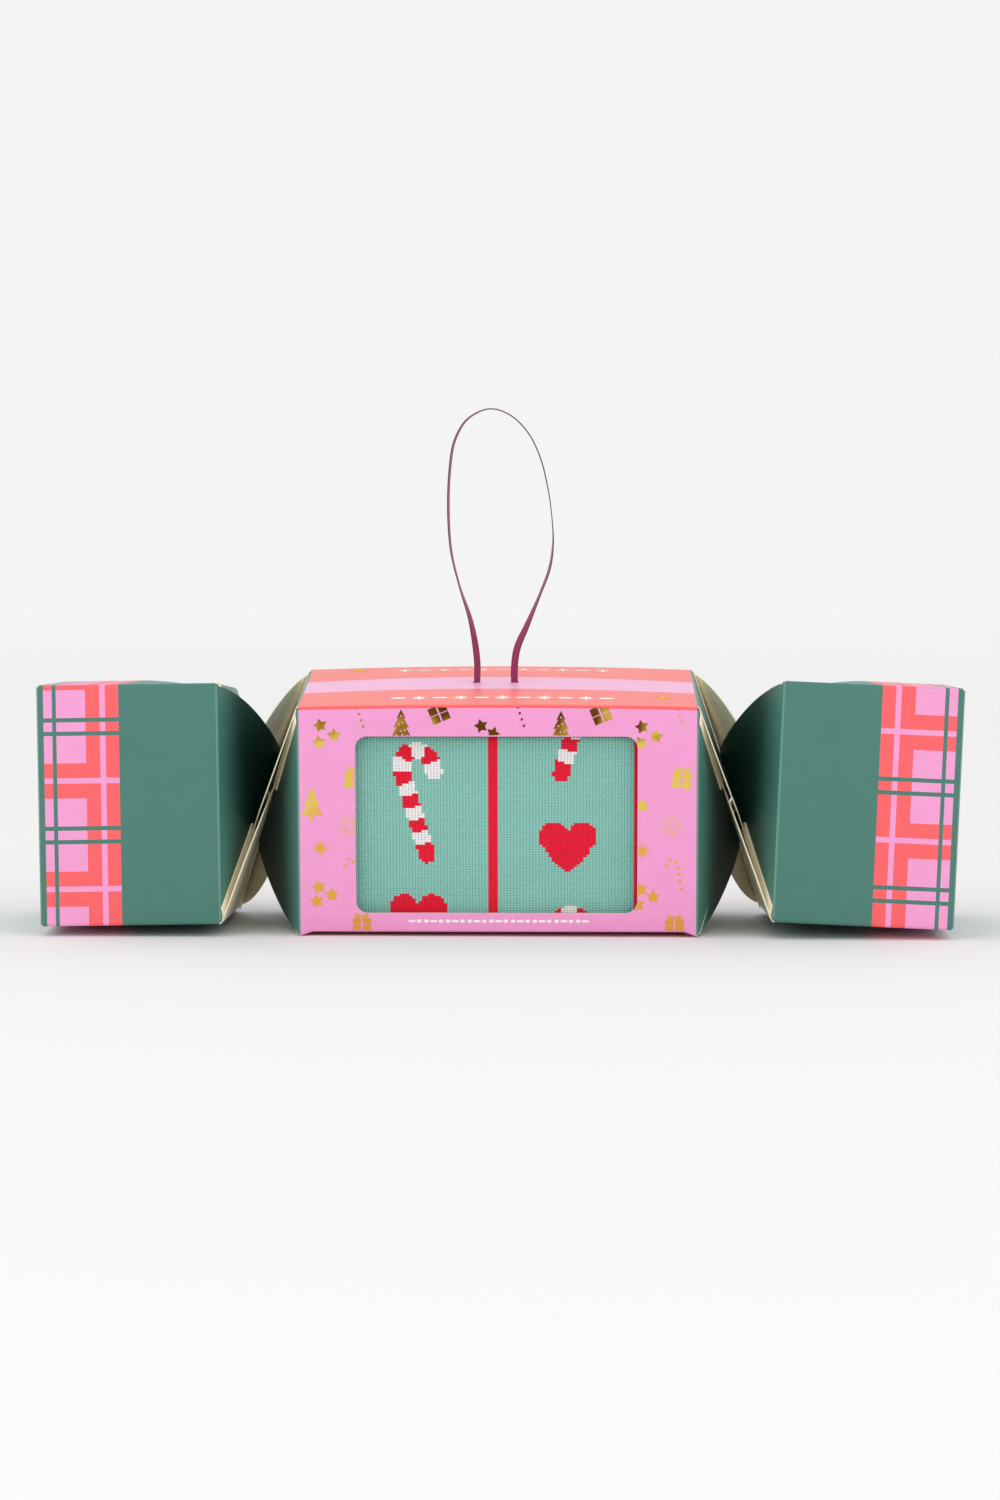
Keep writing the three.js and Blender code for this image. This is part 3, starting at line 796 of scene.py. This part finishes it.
# Lays the stamped sheets on the folded box
def stampMesh(name, sheets, material):
    place = boxPlace(boxFrames["centre"], relaxCentre)
    points, faces = [], []
    for found, used, toBlank in sheets:
        start = len(points)
        points += [place(*toBlank(x, y), -foil["lift"]) * mm for x, y in found]
        for face in used:
            ring = [start + i for i in face]
            a, b, c = (points[i] for i in ring[:3])
            inner = place(*toBlank(*found[face[0]]), 0) * mm
            faces.append(ring if (b - a).cross(c - a).dot(a - inner) > 0 else ring[::-1])
    mesh = plainMesh(name, points, faces, material)
    rework(mesh, lambda work: bmesh.ops.delete(
        work, geom=[v for v in work.verts if not v.link_faces], context="VERTS"))
    handOver(putInScene(name, mesh), "pink_printed_board", "centre_box")


# Hot-stamped gold foil: a mirror-smooth metal film that picks up the board's slight unevenness.
# Its colour holds a painted reflection: darker brown higher up and nearer the middle, brighter gold lower
# down
def goldFoil(add):
    where = add("TexCoord").outputs
    place = add("SeparateXYZ", [where["Object"]]).outputs
    patch = add("TexNoise", {"Vector": where["Object"], "Scale": 90.0, "Detail": 2.0})
    # Painted reflection: the colour follows height, and distance from the middle
    drift = add("Math", [patch, 0.05, place["Z"]], operation="MULTIPLY_ADD")
    beside = add("Math", [place["X"]], operation="ABSOLUTE")
    drift = add("Math", [beside, -0.16, drift], operation="MULTIPLY_ADD")
    height = add("MapRange", {"Value": drift, "From Min": 0.045, "From Max": 0.106})
    ramp = fillRamp(add("ValToRGB", [height]), [(at, linear(code)) for at, code in (
        (0, "#efb548"), (0.2, "#f0d35c"), (0.62, "#e6c654"), (0.76, "#a67c28"), (0.86, "#6b4515"),
        (1, "#5c3a12"))])
    grain = add("TexNoise", {"Vector": where["Object"], "Scale": 900.0, "Detail": 2.0})
    bump = add("Bump", {"Height": grain, "Strength": 0.15, "Distance": 0.00003})
    # Painted highlight: foil that faces up is painted a brighter gold
    facingUp = add("SeparateXYZ", [where["Normal"]]).outputs["Z"]
    onTop = add("Math", [facingUp, 0.6], operation="GREATER_THAN")
    colour = add("Mix", {"Factor": onTop, "A": ramp, "B": "#ffd56e"}, data_type="RGBA")
    return {"Base Color": colour, "Normal": bump, "Metallic": 1.0, "Specular Tint": "#ffdc86",
            "Roughness": 0.28}


# Opaque cream ink of the small ornaments in rows
def creamInk(add):
    where = add("TexCoord").outputs["Object"]
    cloud = add("TexNoise", {"Vector": where, "Scale": 200.0, "Detail": 2.0})
    colour = add("Mix", {"Factor": cloud, "A": "#fbf5e9", "B": "#fffdf6"}, data_type="RGBA")
    return {"Base Color": colour, "Roughness": 0.45}


def stampCentreBox():
    x, z = centreBox["windowMiddle"]
    window = roundedRing(*(side + foil["windowRoom"] for side in centreBox["window"]),
                         centreBox["windowRadius"], x, z)
    tuck, edge = centreBox["tuckLine"] - halfHeight, foil["edge"]
    onFront = lambda x, z: (x, foldPlaces[1] + halfHeight - z)
    onBack = lambda x, z: (-x, foldPlaces[3] + halfHeight + z)
    onTop = lambda x, y: (x, halfDepth - y)
    gold = newMaterial("hot-stamped gold foil", goldFoil)
    ink = newMaterial("lacquered boxboard, cream ink", creamInk)
    stampMesh("goldFoilShapes", [
        stampPanel(foilPlaces("front"), gold, onFront, [tuck, -edge, edge], window, edge),
        stampPanel(foilPlaces("front") + foilPlaces("filling"), gold, onBack, [-edge, edge], None, edge),
        stampPanel(foilPlaces("top", foil["topSize"]), gold, onTop)], gold)
    stampMesh("creamOrnaments", [stampPanel(creamPlaces("front"), ink, onFront, [tuck]),
                                 stampPanel(creamPlaces("top"), ink, onTop)], ink)


stampCentreBox()
print("foil and ornaments stamped")


# Necks: how the petals stand, and how far the twist pulls the end boxes in
neck = {
    "setOff": 0.21, "creaseRadius": 0.1, "reach": 0.66, "lip": 0.39, "crown": (0.355, 0.57),
    "toeRelief": 0.9, "toeStep": (0.4, 1.2), "heelStart": 0.3, "heelGap": 0.4, "baseReach": 1.1,
    "lipSlant": 0.2, "creaseLead": 2, "merge": 0.05,
    # The mate's strip that is turned over along the crease, and how far its start and end slant
    "stripWidth": 3.4, "stripRadius": 0.22, "stripStart": 1.6, "stripStop": 3.6, "stripDraw": 0.55,
    "stripLift": 0.02, "stripSlant": (0.4, 2.2, 0.6, 0.5, 0.7),
    # Painted shade grows across a petal over shadeReach mm; the base fold's strip of worn ink and painted
    # highlight is a share of the base reach
    "bulge": 0.5, "bulgeReach": 14, "shadeReach": 20.0, "wornReach": 0.3,
    "sink": {"left": 3.2, "right": 4.0}, "sinkLength": 34.0,  # the twist draws this corner in
}
# End boxes with their lids, tongues and dust flaps
endBox = {
    "flapEnds": (4.0, 45.5), "flapWidth": 12.0, "flapBevel": 3.0,
    "tongueGap": 1.1, "creaseRadius": 0.6, "tongueDepth": 12, "tongueCorner": 7,
    "tongueBack": 0.02,
    "dustLength": 34, "dustRelief": 4, "dustRest": 0.5, "dustCorner": (1.5, 1),
}


def makeEnd(sideName, side):
    values, length, green = endBox, carton["endLength"], [plainInk, bare, bare]
    matrix = boxFrames[sideName]

    def fold(name, body, node, blank, facePlace, materials=green, **details):
        place = lambda u, v, depth: matrix @ (facePlace(u, v, depth) * Vector((side, 1, 1)))
        piece = Board().add(blank, place, **details).build(f"{sideName}{name}", materials)
        handOver(piece, "green_printed_board", f"{sideName}_{body}", f"{sideName}_{node}")

    def drawnIn(point):
        share = (1 - smooth(point.x, 0, neck["sinkLength"])) * (point.y + halfDepth) / (2 * halfDepth)
        share *= (halfHeight - point.z) / (2 * halfHeight)
        return Vector((0, -neck["sink"][sideName] * share, 0))

    tube = boxPlace(Matrix.Identity(4), drawnIn)
    fold("EndBox", "end_box", "end_sleeve", boxBlank(carton["foldStrip"], length, pitch=6.0), tube,
         [endInks[sideName], bare, bare], seam=onSeam)

    # The glue flap lies on the bottom panel and follows the corner that is drawn in
    first, last = values["flapEnds"]
    edge, bevel = foldPlaces[3] - carton["foldRadius"] - clearance, values["flapBevel"]
    back = edge - values["flapWidth"]
    fold("EndGlueFlap", "end_box", "end_glue_flap",
         cutBlank([(first, edge), (last, edge), (last - bevel, back), (first + bevel, back)]),
         lambda u, v, depth: tube(u, v, depth + board + clearance), [bare, bare, bare])

    # The lid starts in a quarter round at the mouth's top edge and ends in one above the tongue
    face = length + clearance + board
    foot = -halfHeight + board + values["tongueGap"]
    radius = values["creaseRadius"]
    straight, bend = halfHeight - foot - 2 * radius, radius * math.pi / 2

    def lidPlace(u, v, depth):
        if bend <= v < bend + straight:
            return Vector((face - depth, u, halfHeight - radius - (v - bend)))
        angle = (v if v < bend else v - straight) / radius
        middle = halfHeight - radius if v < bend else foot + radius
        return Vector((face - radius + (radius - depth) * math.sin(angle), u,
                       middle + (radius - depth) * math.cos(angle)))

    half, total = halfDepth - 2 * clearance, 2 * bend + straight
    marks = [[(-half, v), (half, v)] for k in (1, 2, 3)
             for v in (bend * k / 3, bend * (k + 2) / 3 + straight)]
    # The lid's two folds are painted lighter: worn ink and a painted highlight
    fold("Lid", "lid", "lid",
         cutBlank([(-half, 0), (half, 0), (half, total), (-half, total)], creases=marks, pitch=8.0),
         lidPlace, wear=lambda u, v: float(min(v, total - v) < bend))

    # The tongue runs back into the box from the lid's foot
    half, corner = half - board, values["tongueCorner"]
    edge = values["tongueDepth"] - clearance - corner
    ring = [(-half, 0), (half, 0)]
    for first, centre in ((0, half - corner), (math.pi / 2, -half + corner)):
        for step in range(7):
            angle = first + step / 6 * math.pi / 2
            ring.append((centre + corner * math.cos(angle), edge + corner * math.sin(angle)))
    fold("LidTongue", "lid_tongue", "lid_tongue", cutBlank(ring, pitch=6.0),
         lambda u, v, depth: Vector((length - values["tongueBack"] - v, u, foot + depth)))

    # Dust flaps fold in behind the lid from the two panels next to it
    relief, (slant, step) = values["dustRelief"], values["dustCorner"]
    top, root = halfHeight - board - 2 * clearance, halfDepth - board - clearance
    low, inner, fall = foot + board + relief, root - values["dustLength"], top - values["dustLength"]
    plane = length + clearance - values["dustRest"]
    ring = [(root, top), (inner + slant, fall + slant), (inner, fall - step),
            (inner, low + relief), (inner + relief, low), (root, low)]
    for name, facingSide in (("Lower", -1), ("Upper", 1)):
        node = f"{name.lower()}_dust_flap"
        fold(f"{name}DustFlap", node, node, cutBlank(ring, pitch=7.0),
             lambda u, v, depth: Vector((plane - depth, facingSide * u, v)))


makeEnd("left", -1)
makeEnd("right", 1)
print("end boxes folded")


# Each panel of a neck is two petals that meet in one crease; these are the corners they reach
cornerPoints = [Vector((0, y * (halfDepth - board / 2), z * (halfHeight - board / 2)))
                for y, z in ((1, 1), (-1, 1), (-1, -1), (1, -1))]


# A petal stands on its base, from heel to toe, and its crease runs from the heel to the tip
def addPetal(folded, heel, toe, tip, mate, towardsBox, panelOut, outerSlot=0):
    values = neck
    bulge = values["bulge"] if panelOut.z > -0.5 else 0.0
    length = (tip - heel).length
    along = (tip - heel).normalized()
    across, mateAcross = (
        ((corner - heel) - along * (corner - heel).dot(along)).normalized() for corner in (toe, mate))
    outer = along.cross(across)
    if outer.dot(mateAcross) < 0:
        outer = -outer
    half = across.angle(mateAcross) / 2
    setOff, radius = values["setOff"], values["creaseRadius"]
    bendStart = (setOff + radius) / math.tan(half)
    spine = bendStart - radius * (math.pi / 2 - half)
    base = toe - heel
    width, theta = base.length, base.angle(along)
    base.normalize()
    sine, cosine = math.sin(theta), math.cos(theta)
    reach, strip = values["baseReach"], carton["foldStrip"]

    # Control points of the fold at the base, where the panel's plane meets the petal's
    first = towardsBox * strip
    last = (along * sine - across * cosine) * reach + outer * setOff
    slope = towardsBox.dot(outer)
    knee = towardsBox * (setOff / slope) if abs(slope) > 0.05 else (first + last) / 2

    def flat(q, p):
        return (q * sine + p * cosine, -q * cosine + p * sine)

    def place(a, c, depth):
        q, p = a * sine - c * cosine, a * cosine + c * sine
        rise = board / 2 - depth
        if q < reach:
            t = (q + strip) / (reach + strip)
            point = first * (1 - t) ** 2 + knee * 2 * t * (1 - t) + last * t * t
            tangent = ((knee - first) * (1 - t) + (last - knee) * t).normalized()
            normal = panelOut * (1 - t) + outer * t
            normal = (normal - tangent * normal.dot(tangent)).normalized()
            return heel + base * p + point + normal * rise
        if c < bendStart:
            angle = (bendStart - c) / radius
            centre = heel + along * a + across * bendStart + outer * (setOff + radius)
            return centre - (outer * math.cos(angle) + across * math.sin(angle)) * (radius - rise)
        room = values["bulgeReach"]
        swell = bulge * smooth(q, reach, room) * smooth(c, bendStart, bendStart + room)
        swell *= 1 - smooth(p, width * 0.55, width)
        return heel + along * a + across * c + outer * (setOff + rise + swell)

    petalEnd, lipEnd = values["reach"] * length, values["lip"] * length
    toeAt, (toeStep, rimStep) = width - values["toeRelief"], values["toeStep"]
    outline = [flat(-strip, values["heelStart"]), flat(-strip, width - clearance), flat(toeStep, toeAt)]
    rim, tipPoint = Vector(flat(rimStep, toeAt)), Vector((petalEnd, spine))
    onDiagonal, onBase = values["crown"]
    crown = Vector((onDiagonal * length + onBase * width * cosine, onBase * width * sine))
    for step in range(19):
        t = step / 18
        outline.append(tuple(rim * (1 - t) ** 2 + crown * 2 * t * (1 - t) + tipPoint * t * t))
    outline += [(lipEnd, spine), (lipEnd - values["lipSlant"], bendStart),
                ((reach + bendStart * cosine) / sine + values["heelGap"], bendStart)]
    bends = [[flat(-strip + (reach + strip) * k / 5, p) for p in (0, width)] for k in range(1, 6)]
    bends += [[(lipEnd - values["creaseLead"], c), (petalEnd, c)]
              for c in (bendStart, (bendStart * 2 + spine) / 3, (bendStart + spine * 2) / 3)]

    # Worn ink and a painted highlight at the fold of its base, and painted shade towards the crease
    def wear(a, c):
        q = a * sine - c * cosine
        return 1.0 if q < reach * values["wornReach"] else -smooth(q, 0, values["shadeReach"])

    folded.add(cutBlank(outline, creases=bends, pitch=5.0), place, wear=wear, outerSlot=outerSlot)

    # The mate's strip, turned over along the crease and pressed flat on this petal
    turned = values["stripRadius"]
    bend = math.pi * turned

    def stripPlace(a, w, depth):
        rise, angle = board / 2 - depth, min(w / turned, math.pi)
        c = bendStart - values["stripDraw"] - turned * math.sin(angle) + max(w - bend, 0)
        height = setOff + turned * (1 - math.cos(angle)) + values["stripLift"]
        return (heel + along * a + across * c + outer * height
                + (outer * math.cos(angle) + across * math.sin(angle)) * rise)

    far, begin, stop = bend + values["stripWidth"], values["stripStart"], lipEnd - values["stripStop"]
    atBend, atFar, atRoot, atEnd, atSide = values["stripSlant"]
    ring = [(begin, 0.05), (stop - atRoot, 0.05), (stop, far - atSide), (stop - atEnd, far),
            (begin + atFar, far), (begin + atBend, bend)]
    marks = [[(begin, bend * k / 5), (lipEnd, bend * k / 5)] for k in range(1, 6)]
    folded.add(cutBlank(ring, creases=marks, pitch=3.0), stripPlace)


def makeNeck(sideName, side):
    centre, end = boxFrames["centre"], boxFrames[sideName]
    shift = Vector((side * halfLength, 0, 0))
    bodyCorners = [centre @ (corner + shift) for corner in cornerPoints]
    endCorners = [end @ corner for corner in cornerPoints]
    endCorners[3] = end @ (cornerPoints[3] - Vector((0, neck["sink"][sideName], 0)))
    bodyX, endX = (matrix.to_3x3() @ Vector((side, 0, 0)) for matrix in (centre, end))
    for index, panelName in enumerate(("Top", "Front", "Bottom", "Back")):
        after = (index + 1) % 4
        out = panelFrames[index][2]
        folded = Board()
        addPetal(folded, bodyCorners[index], bodyCorners[after], endCorners[after], endCorners[index],
                 -bodyX, centre.to_3x3() @ out)
        addPetal(folded, endCorners[after], endCorners[index], bodyCorners[index], bodyCorners[after],
                 endX, end.to_3x3() @ out, outerSlot=1 if panelName == "Front" else 0)
        piece = folded.build(f"{sideName}Neck{panelName}", [plainInk, bare, bare], merge=neck["merge"])
        node = f"{sideName}_neck_{panelName.lower()}"
        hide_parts(f"{node}_body_petal", f"{node}_end_petal")
        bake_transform(piece)


makeNeck("left", -1)
makeNeck("right", 1)
print("necks folded")


# Socks: two plain-knit socks, each folded in half and laid one behind the other
sock = {
    "length": 130, "thickness": 29, "frontHeight": 73, "backHeight": 64, "recess": 3.4, "gap": 1,
    "slot": 1.2, "corner": 6, "lip": 4, "wale": 1.1, "course": 0.86, "rounding": 7.0,
    "inset": 6.0, "calm": 6, "faceDepth": 3,
    "stripes": (-52.0, -1.6, 49.0), "stripeHalf": 1.65,
    "hearts": ((-27.8, -26.1), (24.1, -0.6)),  # top middle of each
    "lobe": 5.2, "apart": 4.9, "heartHeight": 17.2, "heartTaper": 0.54,
    "canes": ((1, 0.0, 0.0), (-1, -2.9, 28.5), (-1, -2.9, -57.5), (1, 0.0, 86.0)),  # mirror and shift
    "caneHalf": 2.85, "caneStripe": 4.4, "stripeStart": 1.2,
    "cane": [(-22.0, 17.2), (-23.1, 21.0), (-25.1, 23.6), (-28.2, 24.6), (-31.3, 23.6), (-33.0, 21.0),
             (-33.1, 17.0), (-24.6, -12.3)],
    # Soft waves of its faces, height and turn per mm along and up; they fade towards the edges
    "waves": ((0.18, 0.19, 0.11), (0.14, -0.07, 0.31)),
}
yarns = {"mint": "#92d1c3", "red": "#fb1036", "white": "#fdfbfa"}


# The yarn of one stitch, by its place in mm from the middle of the sock's face
def yarnAt(x, z, values=sock):
    if any(abs(x - stripe) < values["stripeHalf"] for stripe in values["stripes"]):
        return "red"
    lobe, apart, point = values["lobe"], values["apart"], values["heartHeight"] - values["lobe"]
    for cx, cz in values["hearts"]:
        aside, below = abs(x - cx), cz - lobe - z
        if math.hypot(aside - apart, below) < lobe or (
                0 <= below < point and aside < (lobe + apart) * (1 - below / point) ** values["heartTaper"]):
            return "red"
    for mirror, dx, dz in values["canes"]:
        best, travelled, at = 99, 0, 0
        spot = Vector(((x - dx) * mirror, z - dz))
        for start, stop in zip(values["cane"], values["cane"][1:]):
            start, run = Vector(start), Vector(stop) - Vector(start)
            t = min(max((spot - start).dot(run) / run.length_squared, 0), 1)
            away = (spot - start - run * t).length
            if away < best:
                best, at = away, travelled + t * run.length
            travelled += run.length
        if best < values["caneHalf"]:
            white = int((at + values["stripeStart"]) / values["caneStripe"]) % 2 == 0
            return "white" if white else "red"
    return "mint"


# Fine plain knit: each stitch is a V of two legs; the wales between them are painted darker, a painted shade,
# and the raised legs painted lighter, a painted highlight
def plainKnit(add):
    uv = add("UVMap", uv_map="stitches")
    place = add("SeparateXYZ", [uv]).outputs
    across, fullTurn = place["X"], 6.283
    for operation, other in (("FRACT", 0), ("SUBTRACT", 0.5), ("ABSOLUTE", 0)):
        across = add("Math", [across, other], operation=operation)
    slant = add("Math", [place["Y"], across], operation="SUBTRACT")
    waves = []
    for value, turns, wave in ((slant, 1, "SINE"), (across, 1, "COSINE"), (across, 2, "COSINE")):
        angle = add("Math", [value, turns * fullTurn], operation="MULTIPLY")
        waves.append(add("Math", [angle], operation=wave))
    height, wale, leg = waves
    for wave, share in ((wale, 0.8), (leg, -0.35)):
        height = add("Math", [wave, share, height], operation="MULTIPLY_ADD")
    fuzz = add("TexNoise", {"Vector": uv, "Scale": 3.1, "Detail": 4.0})
    yarn = add("Attribute", attribute_name="yarnColour").outputs["Color"]
    # Painted shade in the wales and painted highlight on the legs, from the stitch height; the fuzz adds yarn
    # tone at random
    groove, shaded = (
        add("MapRange", {
            "Value": value, "From Min": low, "From Max": high, "To Min": dark, "To Max": light})
        for value, low, high, dark, light in ((height, -1.9, 1.4, 0.62, 1.16), (fuzz, 0.2, 0.8, 0.86, 1.12)))
    level = add("Math", [groove, shaded], operation="MULTIPLY")
    colour = add("HueSaturation", {"Color": yarn, "Value": level})
    bump = add("Bump", {"Height": height, "Strength": 0.6, "Distance": 0.0002})
    return {"Base Color": colour, "Normal": bump, "Roughness": 0.95, "Sheen Weight": 0.25,
            "Specular IOR Level": 0.2}


knit = newMaterial("combed yarn, plain knit", plainKnit)


# Outline of a folded sock seen from above, one point to each wale
def sockOutline(foldSide):
    half, slot, corner, lip = sock["thickness"] / 2, sock["slot"] / 2, sock["corner"], sock["lip"]
    fold, toe = half - sock["length"] / 2, sock["length"] / 2 - corner
    ring = []
    for cx, cy, radius, first, last, steps in (
            (toe, -slot - lip, lip, 90, 0, 4), (toe, corner - half, corner, 0, -90, 6),
            (fold, 0, half, -90, -270, 24), (toe, half - corner, corner, 90, 0, 6),
            (toe, slot + lip, lip, 0, -90, 4), (fold, 0, slot, 90, 270, 8)):
        for step in range(steps + 1):
            angle = math.radians(first + (last - first) * step / steps)
            ring.append((cx + radius * math.cos(angle), cy + radius * math.sin(angle)))
    points = []
    for (x1, y1), (x2, y2) in zip(ring, ring[1:] + ring[:1]):
        steps = max(1, round(math.hypot(x2 - x1, y2 - y1) / sock["wale"]))
        points += [(x1 + (x2 - x1) * k / steps, y1 + (y2 - y1) * k / steps) for k in range(steps)]
    return points if foldSide < 0 else [(-x, -y) for x, y in points]


def makeSock(name, node, height, middleY, foldSide):
    values, matrix, ring = sock, boxFrames["centre"], sockOutline(foldSide)
    normals = []
    for (x1, y1), (x2, y2) in zip(ring[-1:] + ring[:-1], ring[1:] + ring[:1]):
        run = math.hypot(x2 - x1, y2 - y1)
        normals.append(((y2 - y1) / run, (x1 - x2) / run))
    courses = round(height / values["course"])
    foot = -halfHeight + board + clearance
    rows = []
    for course in range(courses + 1):
        z = height * course / courses
        nearest = min(z, height - z)
        share = min(nearest / values["rounding"], 1)
        inset = values["inset"] * (1 - math.sqrt(1 - (1 - share) ** 2))
        row = []
        for (x, y), (nx, ny) in zip(ring, normals):
            soft = sum(tall * math.sin(x * along + z * up) for tall, along, up in values["waves"])
            soft *= min(1, nearest / values["calm"])
            row.append(Vector((x + nx * inset, middleY + y + ny * (inset - soft), foot + z)))
        rows.append(row)
    wale, course, count = values["wale"], values["course"], len(ring)
    piece = skin(name, [[matrix @ p for p in row] for row in rows], knit, "stitches",
                 lambda i, j: (j, i), lambda i, j: (rows[0][j].x / wale, rows[0][j].y / course))
    palette = {key: linear(code) for key, code in yarns.items()}
    colours = []
    for face in piece.data.polygons:
        kind = "mint"
        if len(face.vertices) == 4:
            i, j = divmod(face.index, count)
            x, y, z = (rows[i][j] + rows[i + 1][(j + 1) % count]) / 2
            if abs(y - middleY) > values["thickness"] / 2 - values["faceDepth"]:
                kind = yarnAt(x if y < middleY else -x, z)
        colours += palette[kind] * len(face.vertices)
    layer = piece.data.attributes.new("yarnColour", "FLOAT_COLOR", "CORNER")
    layer.data.foreach_set("color", colours)
    handOver(piece, "knitted_yarn", "centre_box", node)


frontMiddle = -halfDepth + board + sock["recess"] + sock["thickness"] / 2
makeSock("frontSock", "front_sock", sock["frontHeight"], frontMiddle, -1)
makeSock("backSock", "back_sock", sock["backHeight"], frontMiddle + sock["thickness"] + sock["gap"], 1)
print("socks knitted")

# The centre box's glue flap stays as the source has it, with the board's bare side showing
flapMesh = bpy.data.objects["centre_glue_flap"].data
flapMesh.materials.clear()
flapMesh.materials.append(bare)


# Studio: a wide sheet of pale paper that grows as light as the air round it, and large soft lights
studio = {
    "floor": "#f1f1f1", "far": "#ffffff", "fade": (0.5, 2.6), "reach": 14.0, "world": 0.905,
    "aim": (0, 0, 0.05),
    "lights": [  # place, size and power
        ((-0.25, -0.2, 1.6), 0.8, 1.5),
        ((-0.9, -1.5, 0.5), 0.6, 1.8), ((0.9, -1.5, 0.5), 0.6, 1.8),
        ((-1.4, -0.5, 0.9), 0.5, 1.8), ((1.4, -0.5, 0.9), 0.5, 1.8),
    ],
}


def studioPaper(add):
    where = add("TexCoord").outputs["Object"]
    grain = add("TexNoise", {"Vector": where, "Scale": 300.0, "Detail": 2.0})
    bump = add("Bump", {"Height": grain, "Strength": 0.03, "Distance": 0.0001})
    away = add("VectorMath", [where], operation="LENGTH")
    start, stop = studio["fade"]
    fade = add("MapRange", {"Value": away, "From Min": start, "From Max": stop})
    colour = add("Mix", {"Factor": fade, "A": studio["floor"], "B": studio["far"]}, data_type="RGBA")
    return {"Base Color": colour, "Normal": bump, "Roughness": 1.0, "Specular IOR Level": 0.0}


def makeStudio(values):
    reach = values["reach"]
    corners = [(x * reach, y * reach, 0) for x, y in ((-1, -1), (1, -1), (1, 1), (-1, 1))]
    paper = plainMesh("studioPaper", corners, [(0, 1, 2, 3)], newMaterial("matt studio paper", studioPaper))
    putInScene("studioPaper", paper)

    scene.world = bpy.data.worlds.new("softBox")
    scene.world.use_nodes = True
    setInputs(scene.world.node_tree.nodes["Background"],
              {"Color": (1, 1, 1, 1), "Strength": values["world"]})
    for index, (place, size, power) in enumerate(values["lights"]):
        data = bpy.data.lights.new(f"softLight{index}", "AREA")
        data.size, data.energy = size, power
        turn = (Vector(place) - Vector(values["aim"])).to_track_quat("Z", "Y").to_matrix().to_4x4()
        putInScene(f"softLight{index}", data).matrix_world = Matrix.Translation(place) @ turn


makeStudio(studio)
print("studio set")
